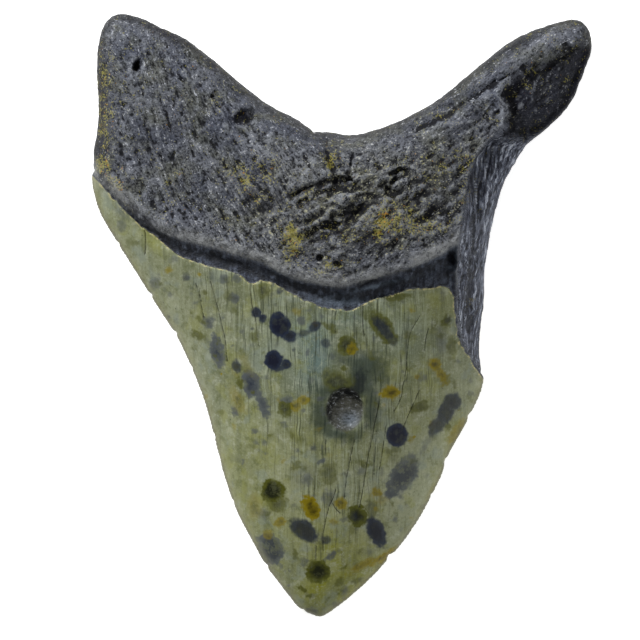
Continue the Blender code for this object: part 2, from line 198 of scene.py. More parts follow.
def reach(points, middle, half_axes, turn=0.0):
    """How far each point is from a place, in half-axes of the turned ellipse round it."""
    cos, sin = math.cos(math.radians(turn)), math.sin(math.radians(turn))
    x, y = (points - place(middle)).T
    return np.hypot((x * cos + y * sin) / half_axes[0], (y * cos - x * sin) / half_axes[1])


# %% [markdown]
# ## Lines and lumps on the tooth
# The root swells to a lip over a dark, slightly sunk band, the bourlette. Below it the enamel starts in a
# thin broken edge. The right shoulder is broken away, which leaves a steep fibrous flank. In the root's
# middle are the openings that fed the living tooth, with furrows that lead to them. Each is a line or an
# ellipse with a size, so it can be moved by hand, and the same values gave the solid its form.

# %% Places of the relief
LIP = [
    (91, 172), (112, 193), (138, 217), (160, 231), (180, 239), (204, 246), (229, 253), (260, 263),
    (293, 278), (326, 286), (346, 287), (368, 281), (393, 274), (409, 268.5), (434, 258),
    (452, 248), (470, 235), (492, 214),
]  # fmt: skip
ENAMEL_EDGE = [
    (90, 173), (97, 180), (106.5, 190), (118, 203), (131, 216), (145, 228), (158, 238), (173, 251),
    (188, 259), (208, 265), (229, 271), (243, 276), (251, 283), (262, 280), (279, 286), (296, 296),
    (312, 302), (329, 307.5), (351, 309), (366, 302.5), (384, 296), (409, 290), (434, 287.5),
    (446, 287.5), (452, 294), (455, 314), (457, 336), (464, 349), (472, 362), (479, 372), (486, 381),
]  # fmt: skip
BOURLETTE = [(110, 190), (138, 222), (180, 246), (229, 262), (293, 287), (346, 297), (409, 279), (450, 262)]
BREAK_LINE = [
    (500, 127), (484, 145), (471, 165), (465, 190), (460, 225), (456, 255), (455, 290), (457, 320),
    (461, 340), (470, 357), (481, 374),
]  # fmt: skip
LABIAL_ENAMEL_EDGE = [
    (88, 172), (120, 205), (170, 238), (240, 262), (320, 270), (400, 262), (452, 266), (490, 300),
]  # fmt: skip

# Hollows and lumps are (place, half-axes, turn, depth or height), in millimetres and degrees.
CRATER = ((345, 409.5), (4.0, 4.7))  # in the crown
HOLLOWS = [
    ((137, 67), (0.8, 1.45), -8, 2.6),
    ((245, 118), (2.8, 1.8), 20, 1.0),
    ((213, 97), (0.6, 0.6), 0, 0.6),
    ((345, 186), (3.0, 2.2), 0, 1.3),
    ((400, 176), (2.0, 1.4), 35, 0.9),
    ((388, 192), (1.4, 1.1), 0, 0.8),
    ((434, 214), (3.4, 1.5), 30, 0.8),
    ((322, 233), (4.4, 2.2), 25, 0.9),
    ((337, 264), (1.0, 1.0), 0, 0.7),
    ((320, 258), (0.6, 0.6), 0, 0.7),
    ((451, 259), (1.0, 1.7), 8, 1.6),
    (*CRATER, 0, 1.5),
]
# The worn scoop of the right lobe lies below and right of this line, within an ellipse.
SCOOP_EDGE = [(574, 42), (560, 50), (543, 61), (520, 71), (505, 82), (499, 93), (503, 110), (503, 127)]
SCOOP_REACH = ((548, 90), (14.0, 8.6), 33)
SCOOP_DEPTH = 2.3
LUMPS = [
    ((335, 240), (23.0, 11.0), -3, 2.6),
    ((346, 197), (1.8, 1.7), 0, 1.2),
    ((401, 182), (1.5, 1.0), 35, 0.5),
    ((275, 150), (13.0, 5.0), -30, 0.9),
    ((160, 95), (9.0, 12.0), -30, 0.9),
    ((535, 52), (9.0, 1.8), 33, 0.7),
]
# Furrows and ridges are (places along it, half-width, depth or height).
FURROWS = [
    ([(324, 140), (326, 150), (331, 166), (336, 180)], 0.5, 0.8),
    ([(353, 154), (351, 164), (349, 175)], 0.45, 0.7),
    ([(293, 197), (302, 191), (311, 187.5), (322, 184), (335, 182)], 0.8, 1.2),
    ([(300, 204), (313, 196), (325, 192), (334, 191)], 0.6, 0.7),
    ([(339, 187), (344, 182.5), (350, 181), (355, 183.5), (358, 190)], 0.6, 1.0),
    ([(391, 175.5), (396, 172), (401, 170.7), (409, 173)], 0.5, 0.7),
    ([(391, 184), (396, 180.5), (401, 185)], 0.5, 0.6),
    ([(362, 284), (378, 277), (396, 271.5), (409, 270)], 0.5, 0.8),
    ([(340, 226), (354, 212), (372, 199), (390, 191)], 2.0, 1.5),
    ([(418, 129), (445, 114), (472, 97), (490, 86), (516, 72), (543, 61), (567, 47)], 1.1, 1.1),
    ([(255, 103), (282, 120), (310, 136)], 1.2, 0.3),
    (BOURLETTE, 1.6, 0.9),
    ([(478, 185), (474, 230), (470, 280), (469, 330)], 0.8, 0.5),
]
RIDGES = [
    (BREAK_LINE, 0.8, 0.5),
    ([(498, 92), (503, 110), (503, 127)], 0.8, 0.8),
    ([(364, 289), (376, 282.5), (392, 277), (409, 275)], 0.6, 0.8),
    ([(456.5, 250), (458, 260), (456, 269), (450, 273)], 0.45, 1.0),
    ([(486, 190), (481, 235), (477, 290), (475, 340)], 0.8, 0.5),
]
LABIAL_ARCHES = [
    ((340, 176), (24.0, 20.0), 0, 1.7),
    ((333, 325), (20.0, 13.0), 0, 0.8),
    ((320, 612), (9.0, 9.0), 0, 1.2),
]
LABIAL_HOLLOWS = [
    ((228, 150), (2.4, 1.5), 30, 0.9),
    ((372, 196), (1.6, 2.2), -10, 0.9),
    ((455, 150), (1.6, 1.1), 40, 0.8),
]
print(len(HOLLOWS), "hollows,", len(LUMPS), "lumps,", len(FURROWS) + len(RIDGES), "lines")

# %% [markdown]
# ## Noise for everything that is not smooth
# Nature draws no true ellipse and no straight crack. Fractal noise, read at points in space, bends both.

# %% Make noise
def rough(points, scale, seed, octaves=3):
    """Fractal noise at points of two or three dimensions, about -1 to 1."""
    deep = points if points.shape[1] == 3 else np.column_stack([points, np.zeros(len(points))])
    shifted = (deep / scale + (seed * 17.3, seed * -9.1, seed * 5.7)).tolist()
    return np.array([noise.fractal(Vector(p), 1.0, 2.0, octaves) for p in shifted])


# %% [markdown]
# ## Cracks in the enamel
# Enamel shrinks in the ground and splits along its height. A crack is a groove about a sixth of a
# millimetre wide, finer than the mesh's even grid, so each crack gets rows of points of its own: one along
# its floor and one along each lip. They are drawn from top to bottom.

# %% Places of the cracks
CRACKS = [
    [(211, 283), (217, 304), (222.6, 327), (226, 345), (227.6, 361)],
    [(251, 284), (252, 303), (256, 322), (258, 335), (259, 347)],
    [(196, 284), (199, 293), (201, 301)],
    [(200, 290), (201, 305), (204, 318)],
    [(419, 316), (413, 327), (409, 336), (407, 352), (406, 367), (402.6, 386), (401, 396), (394, 411)],
    [(427.5, 329), (425, 340), (424, 350)],
    [(419, 390), (411, 408), (403, 427)],
    [(379, 401), (375, 422), (371, 443), (367, 462), (364.4, 479), (362, 494), (359.4, 507)],
    [(354.4, 440), (351, 455), (348.6, 468), (346, 482), (344.5, 497)],
    [(336, 489), (333, 498), (329.6, 506), (326, 519), (323, 534), (323, 551)],
    [(316, 547), (316, 560)],
    [(376, 431), (375, 452), (374, 474)],
    [(326, 440), (326, 454)],
    [(333, 504), (336, 509), (340, 513)],
    [(336, 312), (335, 322), (336, 333)],
    [(363, 300), (362, 318), (364, 336)],
    [(386, 425), (383, 446), (379, 470)],
    [(145, 230), (146, 243), (145, 255)],
]
CRACK_WIDTH = 0.09
CRACK_DEPTH = 0.16


def wandering(path, amount=0.10):
    """A crack's path with the small kinks that splitting leaves."""
    line = curve(place(path), 0.35)
    side = rough(line, 2.0, len(path), 2)
    return line + np.column_stack([side, np.zeros(len(line))]) * amount


CRACK_LINES = [wandering(path) for path in CRACKS]
print(len(CRACK_LINES), "cracks,", sum(len(line) for line in CRACK_LINES), "points")

# %% [markdown]
# ## The form
# A height field holds each face: a height over every point of the outline's inside. The crown is a lens
# between its cutting edges, highest near the root. The root has a round rim and swells towards its middle.
# A soft step at the lip joins the two. The under face hangs from the same edges and touches the floor with
# both lobes and the crown's middle.

# %% Heights of both faces
ROOT_RIM = 5.0  # the rounding of the root's rim on the upper face
UNDER_RIM = 6.8  # and on the under face
CUTTING_RIM = 0.45
EDGE_ROUND = 0.8
EDGE_HEIGHT = 2.8  # of the outline over the floor, at the crown and at the root
ROOT_EDGE_HEIGHT = 7.0
NOTCH_SLOPE = 14.0
LIP_WIDTH = 2.2
LIP_SOFTER = 3.0  # the lip is that much wider at the left, from here to here
LIP_SOFT_SPAN = (-38.0, -8.0)
LIP_LOST = 20.0  # and as good as gone beyond the break, within so far
LIP_LOST_WITHIN = 1.5
ENAMEL_STEP = 0.5
ENAMEL_STEP_SLOPE = 0.5
LABIAL_STEP = 0.4  # the enamel's edge on the labial face, and how far from it the step fades out
LABIAL_STEP_SLOPE = 0.6
LABIAL_STEP_FADE = 12.0
RELIEF_FADE = 1.8
RESTING_DEPTH = 0.26  # how far the swollen labial face is worn flat where it rests
SHOULDERS = ((-54.8, 93.5), (31.5, 54.0))  # the crown's two ends, as (place across, height above the tip)
ROOT_BLEND = 14.0  # above the line between them, the root takes over within so far
ROOT_THICKENING = 30.0
MISSING_SHOULDER = 9.5  # how much of the right shoulder broke away, and between which heights
MISSING_SPAN = ((50.0, 70.0), (87.0, 112.0))
BREAK_SPAN = ((51.0, 58.0), (103.0, 112.0))
BREAK_CURVE = 0.8
CROWN_FULLNESS = 0.85
ROOT_FULLNESS = 0.7
BELLY_FULLNESS = 0.75
HOLLOW_BRIM = 1.12  # a hollow's wall runs from here inwards, in its half-axes
HOLLOW_WALL = 0.5
SCOOP_SLOPE = 2.4
# How far the middle stands over the edges, as (height above the tip, swell)
CROWN_SWELL = [
    (-6, 0.0), (0, 0.5), (6, 2.8), (16, 6.3), (30, 10.2), (45, 13.5), (58, 15.7), (68, 16.6), (80, 16.8),
    (134, 16.8),
]  # fmt: skip
ROOT_SWELL = [
    (-6, 15.0), (54, 15.0), (70, 14.6), (80, 13.2), (90, 10.8), (100, 8.2), (110, 6.2), (122, 4.6),
    (136, 3.6),
]  # fmt: skip


def lumps(points, listed):
    """The height of soft round lumps."""
    return sum(height * np.exp(-(reach(points, *where) ** 2)) for *where, height in listed)


def hollows(points, listed):
    """The depth of hollows with a flat floor and a steep wall."""
    return sum(depth * ease((HOLLOW_BRIM - reach(points, *where)) / HOLLOW_WALL) for *where, depth in listed)


def scoop(points):
    """How deep the right lobe's scoop is, as a share of its depth."""
    past = distance(points, curve(place(SCOOP_EDGE)))
    return ease(past / SCOOP_SLOPE + 0.1) * ease((1.15 - reach(points, *SCOOP_REACH)) / 0.3)


def grooves(points, listed):
    """The depth of furrows, or the height of ridges, along their paths."""
    made = np.zeros(len(points))
    for path, width, depth in listed:
        far = distance(points, curve(place(path), 1.0), limit=4 * width)
        made += depth * np.exp(-((far / width) ** 2))
    return made


def between(values, rise, fall):
    """0 outside a span of values and 1 inside it, with a soft rise and a soft fall."""
    return ease((values - rise[0]) / (rise[1] - rise[0])) * ease((fall[1] - values) / (fall[1] - fall[0]))


def rolled(edges, width):
    """The rise of a quarter round that follows several edges."""
    return np.prod([roll(far, width) for far in edges], axis=0)


class Form:
    """Everything that both faces of the tooth share, at a set of points."""

    def __init__(self, points):
        notch, right, left = (np.abs(distance(points, edge)) for edge in EDGES)
        edges = (left, right, notch)
        self.points = points
        self.inside = np.minimum(np.minimum(notch, right), left)
        self.above_tip = points[:, 1] - place(TIP)[1]
        (left_x, left_up), (right_x, right_up) = SHOULDERS
        shoulder_line = left_up + (points[:, 0] - left_x) * (right_up - left_up) / (right_x - left_x)
        self.rootness = ease((self.above_tip - shoulder_line) / ROOT_BLEND)
        thicker = ease((self.above_tip - shoulder_line) / ROOT_THICKENING)
        missing = MISSING_SHOULDER * between(self.above_tip, *MISSING_SPAN)
        across = left / (left + right + missing + 1e-9)
        self.lens = 4 * across * (1 - across)
        self.past_lip = distance(points, curve(place(LIP)))
        self.past_break = distance(points, curve(place(BREAK_LINE)))
        soft_from, soft_to = LIP_SOFT_SPAN
        softer = LIP_SOFTER * ease((soft_to - points[:, 0]) / (soft_to - soft_from))
        softer += LIP_LOST * ease(self.past_break / LIP_LOST_WITHIN)
        self.lip = ease(self.past_lip / (LIP_WIDTH + softer) + 0.5)
        self.rim_rolls = rolled(edges, ROOT_RIM)
        self.edge_rolls = rolled(edges, EDGE_ROUND)
        self.under_rolls = rolled(edges, UNDER_RIM)
        self.notch_slope = roll(notch, NOTCH_SLOPE)
        beyond = np.maximum(0, self.past_break)
        share = right / (right + beyond + 1e-9)
        self.broken = between(self.above_tip, *BREAK_SPAN)
        self.flank = 1 - (1 - share**BREAK_CURVE) * self.broken
        self.edge = EDGE_HEIGHT + (ROOT_EDGE_HEIGHT - EDGE_HEIGHT) * thicker
        self.fade = ease(self.inside / RELIEF_FADE)


def lingual_height(form):
    """The height of the upper face, the one with the swollen root and the bourlette."""
    crown = np.interp(form.above_tip, *curve(CROWN_SWELL).T) * form.lens**CROWN_FULLNESS
    root = np.interp(form.above_tip, *curve(ROOT_SWELL).T) * form.lens**ROOT_FULLNESS * form.notch_slope
    crown = crown * form.flank + CUTTING_RIM * form.edge_rolls
    root = root * form.flank + ROOT_RIM * form.rim_rolls
    bent = form.points + 0.16 * np.column_stack([rough(form.points, 1.9, seed, 2) for seed in (41, 42)])
    relief = ENAMEL_STEP * ease(form.past_enamel / ENAMEL_STEP_SLOPE + 0.5)
    relief += lumps(form.points, LUMPS) - hollows(bent, HOLLOWS) - SCOOP_DEPTH * scoop(bent)
    relief += grooves(bent, RIDGES) - grooves(bent, FURROWS)
    return form.edge + crown + (root - crown) * form.lip + relief * form.fade


def labial_height(form):
    """The height of the under face, which is nearly flat."""
    belly = form.lens**BELLY_FULLNESS * (1 - form.rootness) + form.under_rolls * form.rootness
    relief = lumps(form.points, LABIAL_ARCHES) + hollows(form.points, LABIAL_HOLLOWS)
    near_step = np.exp(-((form.past_enamel / LABIAL_STEP_FADE) ** 2))
    relief += LABIAL_STEP * ease(0.5 - form.past_enamel / LABIAL_STEP_SLOPE) * near_step
    return np.maximum(0, form.edge * (1 - belly) + (relief - RESTING_DEPTH) * belly)


# %% [markdown]
# ## A mesh that is fine where it matters
# An even triangular lattice covers both faces, and rows of points follow the outline, the enamel's edge,
# the pits and the cracks. A constrained Delaunay triangulation joins them all without slivers. Both faces
# share the outline's points, so the skin is closed. The under face is plainer, and its lattice is wider.

# %% Lay out the points
OUTLINE_STEP = 0.32
LINE_STEP = 0.34
LINE_ROWS = (-0.12, 0.0, 0.12)  # a crack's left lip, floor and right lip
RIM_ROWS = (0.3, 0.62, 1.0, 1.5, 2.1, 2.8, 3.5)
TOP_STEP = 0.37
UNDER_STEP = 0.72
SERRATION = 0.96  # from one worn tooth of the cutting edge to the next
NICKS = [
    ((150, 295), 0.5, 0.35), ((175.5, 333), 0.5, 0.45), ((190, 368), 0.6, 0.3), ((118, 243), 0.5, 0.25),
    ((213, 436), 0.6, 0.3), ((232, 502), 0.5, 0.25), ((266, 566), 0.6, 0.3), ((470, 416), 0.9, 0.4),
    ((447, 462), 1.0, 0.35), ((432, 495), 0.5, 0.25), ((390, 557), 0.9, 0.5), ((483, 372), 0.6, 0.4),
    ((92, 170), 0.6, 0.5), ((314, 131), 0.5, 0.45), ((303, 611), 0.6, 0.3),
]  # fmt: skip


def spaced(path, step):
    """Points a step apart along a path, without its end."""
    run = np.r_[0, np.cumsum(np.hypot(*np.diff(path, axis=0).T))]
    at = np.linspace(0, run[-1], max(2, round(run[-1] / step)), endpoint=False)
    return np.stack([np.interp(at, run, axis) for axis in path.T], 1)


def sideways(points):
    """The direction to the left of a path, at each of its points."""
    ahead = np.gradient(points, axis=0)
    ahead /= np.hypot(*ahead.T)[:, None] + 1e-12
    return np.stack([-ahead[:, 1], ahead[:, 0]], 1)


def beside(path, far, step):
    """Points a step apart along the line that runs beside a path, to the left of it."""
    points = spaced(path, step)
    return points + far * sideways(points)


def chipped_outline():
    """The outline's points with a worn saw edge on the crown, nicks, and a rough rim on the root."""
    points = np.vstack([spaced(edge, OUTLINE_STEP) for edge in EDGES])
    run = np.arange(len(points)) * OUTLINE_STEP
    crown = ease(-distance(points, curve(place(ENAMEL_EDGE))) / 1.5)
    worn = 0.5 + 0.5 * rough(points, 9.0, 4)
    teeth = 0.07 * np.clip(worn, 0.15, 1) * np.sin(run * 2 * math.pi / SERRATION)
    teeth += 0.06 * rough(points, 1.1, 6) + 0.07 * rough(points, 5.0, 5)
    bark = 0.07 * rough(points, 3.0, 7) + 0.05 * rough(points, 0.8, 8)
    out = teeth * crown + bark * (1 - crown)
    for where, width, depth in NICKS:
        out -= depth * np.exp(-((np.linalg.norm(points - place(where), axis=1) / width) ** 2))
    return points + sideways(points) * out[:, None]


def rings(listed, step):
    """Points on ellipses in and around small hollows, so that their walls are in the mesh."""
    made = []
    for middle, half_axes, turn, _ in listed:
        count = max(4, round(max(half_axes) / step * 1.2))
        for share in np.linspace(0, 1.25, count):
            around = max(1, round(2 * math.pi * share * max(half_axes) / step))
            angles = np.linspace(0, 2 * math.pi, around, endpoint=False)
            flat = share * np.stack([np.cos(angles) * half_axes[0], np.sin(angles) * half_axes[1]], 1)
            cos, sin = math.cos(math.radians(turn)), math.sin(math.radians(turn))
            made.append(place(middle) + flat @ np.array([[cos, sin], [-sin, cos]]))
    return np.vstack(made)


def lattice(step):
    """Points of a triangular lattice over the outline's box."""
    rows = np.arange(CLOSED[:, 1].min(), CLOSED[:, 1].max(), step * math.sqrt(3) / 2)
    x, y = np.meshgrid(np.arange(CLOSED[:, 0].min(), CLOSED[:, 0].max(), step), rows)
    x[1::2] += step / 2
    return np.stack([x.ravel(), y.ravel()], 1)


def sheet(outline, step, pits, lines, line_rows):
    """The flat layout of one face: its points, the outline's first, and its triangles."""
    rim = [beside(CLOSED, -far, max(step, OUTLINE_STEP)) for far in RIM_ROWS if far > 0.4 * step]
    rim = [row[-distance(row, CLOSED) > 0.96 * far] for row, far in zip(rim, RIM_ROWS)]
    field = lattice(step)
    for line in lines:
        field = field[np.abs(distance(field, line, limit=1)) > line_rows[-1] + 0.5 * step]
    for middle, half_axes, turn, _ in pits:
        field = field[reach(field, middle, half_axes, turn) > 1.25 + 0.4 * step / max(half_axes)]
    field = field[-distance(field, CLOSED) > RIM_ROWS[-1] + 0.4 * step]
    rows = [beside(line, far, min(step, LINE_STEP)) for line in lines for far in line_rows]
    inner = np.vstack([rings(pits, step), *rows])
    inner = inner[-distance(inner, CLOSED) > RIM_ROWS[0]]
    count = len(outline)
    border = [(i, (i + 1) % count) for i in range(count)]
    points = np.vstack([outline, *rim, inner, field])
    made = delaunay_2d_cdt([Vector(p) for p in points], border, [], 1, 0.012)
    return np.array(made[0]), np.array(made[2]), count


OUTLINE = chipped_outline()
ENAMEL_LINE = curve(place(ENAMEL_EDGE))
FINE_PITS = [pit for pit in HOLLOWS if max(pit[1]) < 2.0]
LINES = [*CRACK_LINES, ENAMEL_LINE]
top_flat, top_triangles, border = sheet(OUTLINE, TOP_STEP, FINE_PITS, LINES, LINE_ROWS)
under_flat, under_triangles, _ = sheet(OUTLINE, UNDER_STEP, LABIAL_HOLLOWS, [], (0.0,))
print("top:", len(top_triangles), "triangles, under:", len(under_triangles))

# %% [markdown]
# ## Broken lines are never smooth
# The enamel's upper edge flaked off in small scallops. Noise added to the distance from the line makes the
# step and, later, the colour follow the same ragged edge.

# %% Raise the faces
def ragged(points, path):
    """The distance past a broken edge, positive on the crown, with small scallops in it."""
    return -distance(points, curve(place(path))) + 0.28 * rough(points, 1.3, 3) + 0.22 * rough(points, 4.0, 2)


top_form, under_form = Form(top_flat), Form(under_flat)
top_form.past_enamel = ragged(top_flat, ENAMEL_EDGE)
under_form.past_enamel = ragged(under_flat, LABIAL_ENAMEL_EDGE)
top_height = lingual_height(top_form)
under_height = labial_height(under_form)
top_height[:border] = top_form.edge[:border]
print("highest point:", top_height.max().round(1), "mm")

# %% [markdown]
# ## One skin from two faces
# The under face gives its outline points up and uses the top's. What was measured on each face is joined in
# the same order, so that every vertex knows its distances, its face and its region.

# %% Join the faces
def joined(top, under):
    """A value for every vertex of the whole skin, from its values on the two faces."""
    return np.concatenate([top, under[border:]])


count_top = len(top_flat)
under_index = np.r_[np.arange(border), np.arange(border, len(under_flat)) - border + count_top]
triangles = np.vstack([top_triangles, under_index[under_triangles][:, ::-1]])
points = np.column_stack([joined(top_flat, under_flat), joined(top_height, under_height)])
flat = points[:, :2].copy()
is_top = np.arange(len(points)) < count_top
past_enamel = joined(top_form.past_enamel, under_form.past_enamel)
past_lip = joined(top_form.past_lip, under_form.past_lip)
inside = joined(top_form.inside, under_form.inside)
past_break = joined(top_form.past_break, under_form.past_break)
broken = joined(top_form.broken, under_form.broken)


def normals_of(points, triangles):
    """Each vertex's normal, the mean of its triangles' by area."""
    a, b, c = (points[triangles[:, i]] for i in range(3))
    faces = np.cross(b - a, c - a)
    made = np.zeros_like(points)
    for i in range(3):
        np.add.at(made, triangles[:, i], faces)
    return made / (np.linalg.norm(made, axis=1)[:, None] + 1e-12)


normals = normals_of(points, triangles)
if normals[:count_top, 2].mean() < 0:
    triangles = triangles[:, ::-1]
    normals = -normals
print(len(points), "vertices,", len(triangles), "triangles")

# %% [markdown]
# ## Regions
# Masks between 0 and 1 say where each surface is: the enamel, the bourlette between enamel and lip, the
# fibrous flank of the break, and the root. The relief and the material both read them, so grain and colour
# agree.

# %% Measure the regions
is_crown = ease(past_enamel / 0.3 + 0.5)
is_flank = is_top * broken * ease(past_break / 0.8 + 0.3) * (1 - is_crown)
is_neck = is_top * (1 - is_crown) * ease(0.5 - past_lip / 1.0) * (1 - is_flank)
is_root = (1 - is_crown) * (1 - is_neck) * (1 - is_flank)
for name, region in (("crown", is_crown), ("neck", is_neck), ("flank", is_flank), ("root", is_root)):
    print(name, round(float(region.mean()), 3))

# %% [markdown]
# ## Grain
# Root dentine is spongy: fine pores in fibres that fan out along the lobes, with larger pits where vessels
# ran. The flank shows the same fibres split open, and enamel is almost smooth with faint upright ribs.
# Noise that is stretched along the fibres makes them, and every vertex moves along its own normal, so that
# the sides get grain too.

# %% Move the surface
def turned(points, angle):
    """Points in a frame whose first axis runs along the fibres, at an angle in degrees."""
    turn = np.radians(angle)
    x, y, z = points.T
    return np.column_stack([x * np.cos(turn) + y * np.sin(turn), y * np.cos(turn) - x * np.sin(turn), z])


def fibres(points, along, across, angle, seed, octaves=3):
    """Noise that is stretched along the fibres."""
    return rough(turned(points, angle) / (along, across, across), 1.0, seed, octaves)


def wrinkles(points, size, seed):
    """Sharp crests with rounded valleys between, about -1 to 1."""
    shifted = (points / size + (seed * 3.1, seed * 7.7, seed * -5.3)).tolist()
    made = np.array([noise.ridged_multi_fractal(Vector(p), 1.0, 2.0, 3, 1.0, 2.0) for p in shifted])
    return (made - made.mean()) / (2 * made.std())


def pits(points, count, size, seed):
    """The depth of round pores, scattered with a fixed seed."""
    dice = np.random.default_rng(seed)
    depth = np.zeros(len(points))
    spots = dice.uniform(CLOSED.min(0), CLOSED.max(0), (count, 2))
    for spot, wide in zip(spots, dice.uniform(0.5, 1.4, count) * size):
        near = np.flatnonzero(np.all(np.abs(points[:, :2] - spot) < 2.5 * wide, axis=1))
        far = np.linalg.norm(points[near, :2] - spot, axis=1)
        depth[near] += wide * np.exp(-((far / wide) ** 4))
    return depth


FAN = ([-45, -15, 0, 15, 45], [-58, -35, 0, 30, 36])  # places across the root, and its fibres' angles there
FLANK_ANGLE = 93.0
FOLD_ANGLE = 32.0
UPRIGHT = 90.0
RUGGED = ((365, 205), (27.0, 11.0), 12)  # the rough middle of the root
PORES = (900, 0.38)  # how many, and how wide
RUGGED_PORES = (500, 0.6)
FAR_FROM_CRACKS = 9.0

root_angle = np.interp(flat[:, 0], *FAN)
flank_angle = root_angle + (FLANK_ANGLE - root_angle) * is_flank
along_fibres = turned(points, flank_angle)
along_fibres[:, 0] *= 0.25 - 0.13 * is_flank
rugged = np.exp(-(reach(flat, *RUGGED) ** 2))
grain = 0.20 * fibres(points, 3.0, 0.9, root_angle, 11) + 0.20 * rough(points, 0.75, 12, 2)
grain += 0.45 * rough(points, 5.0, 13) - 0.5 * pits(points, *PORES, 14) * is_top * ease(inside / 4)
grain += 0.16 * wrinkles(turned(points, root_angle) / (2.0, 1.0, 1.0), 2.6, 10)
rugged_folds = turned(points, FOLD_ANGLE) / (2.2, 1.0, 1.0)
grain += rugged * (0.55 * wrinkles(rugged_folds, 3.2, 15) - 0.5 * pits(points, *RUGGED_PORES, 16))
split = 0.45 * fibres(points, 12.0, 0.8, FLANK_ANGLE, 17) + 0.18 * rough(points, 0.9, 18)
band = 0.14 * fibres(points, 3.0, 0.6, UPRIGHT, 19) + 0.30 * rough(points, 1.8, 20)
ribs = 0.030 * rough(flat / (0.5, 25.0), 1.0, 21, 2) + 0.10 * rough(points, 9.0, 22)
crack_far = np.full(len(points), FAR_FROM_CRACKS)
for line in CRACK_LINES:
    crack_far = np.minimum(crack_far, np.abs(distance(flat, line, limit=2)))
crack_far[~is_top] = FAR_FROM_CRACKS
crack = np.exp(-((crack_far / CRACK_WIDTH) ** 2))
moved = grain * is_root + split * is_flank + band * is_neck + ribs * is_crown
moved *= ease(inside / 0.8) * is_crown + (0.25 + 0.75 * ease(inside / 2.2)) * (1 - is_crown)
moved -= CRACK_DEPTH * crack * is_crown
lift = np.where(is_top, 1.0, ease((points[:, 2] - 0.05) / 1.2) * 0.8)
points = points + normals * (moved * lift)[:, None]
points[:, 2] = np.maximum(0, points[:, 2])
print("grain of the root:", round(float(grain[is_root > 0.9].std()), 2), "mm")

# %% [markdown]
# ## Stains in the enamel
# Minerals left round spots of four kinds, which overlap: veils of slate, olive rings, ochre and near-black
# ink. A vertex stores how deep it lies inside the nearest spot, how strong that spot is and how soft its
# rim is. A shader can cut that depth at any sharpness, so that a spot's edge is crisper than the mesh.

# %% Places of the spots
# Spots are (column, row, half-width, half-height, turn, strength, softness), in pixels and degrees.
VEILS = [
    (155.5, 282.6, 6, 8, 0, 0.6, 0.8), (174.5, 259, 5, 5, 0, 0.5, 0.8), (237.5, 278.5, 5.5, 5, 0, 0.7, 0.6),
    (224, 279, 5, 5, 0, 0.7, 0.6), (235, 298, 6, 6, 0, 0.8, 0.6), (208.5, 322, 7, 7, 0, 0.8, 0.7),
    (217, 351, 8, 17, 14, 0.95, 0.5), (251, 384, 9, 15, 15, 1.0, 0.4), (263, 405, 6, 15, 24, 0.95, 0.5),
    (441, 342, 6, 14, 10, 0.5, 1.4), (122, 212, 6, 10, 30, 0.4, 1.4), (421.7, 378, 5, 5, 0, 0.6, 0.8),
    (403, 475, 13, 20, -35, 0.9, 0.7), (395, 484, 9, 10, 0, 0.9, 0.6), (391, 494, 7, 5, 0, 0.95, 0.5),
    (410, 462, 7, 9, 0, 0.8, 0.8), (329, 497.6, 8, 8, 0, 0.6, 1.0), (307.6, 479, 6, 6, 0, 0.7, 0.8),
    (271, 549, 14, 16, 20, 0.9, 0.5), (264, 541, 9, 7, 0, 0.9, 0.6), (302, 320, 4, 4, 0, 0.8, 0.6),
    (122, 225, 5, 6, 0, 0.6, 0.9), (234.6, 413, 3, 5, 10, 0.9, 0.5), (321.7, 461, 4.5, 2.5, 25, 0.9, 0.5),
    (360.7, 471, 5, 4, 0, 0.6, 0.8), (335.8, 605, 6, 4, 0, 0.8, 0.7), (332.5, 554, 9, 3, 40, 0.9, 0.6),
    (304, 561, 3, 4, 0, 0.7, 0.6), (238, 459.5, 8, 4, -20, 0.4, 1.2), (264.5, 514, 6, 5, 0, 0.5, 1.0),
    (303, 475, 14, 12, 0, 0.3, 2.0), (425, 446, 8, 3, 60, 0.5, 0.9), (369, 552, 8, 3, 5, 0.45, 1.0),
    (209, 340, 5, 4, 0, 0.4, 1.0), (286, 400, 6, 5, 0, 0.8, 0.6), (312, 612, 6, 4, 0, 0.9, 0.7),
    (346, 590, 4, 6, -30, 0.7, 0.8),
]  # fmt: skip
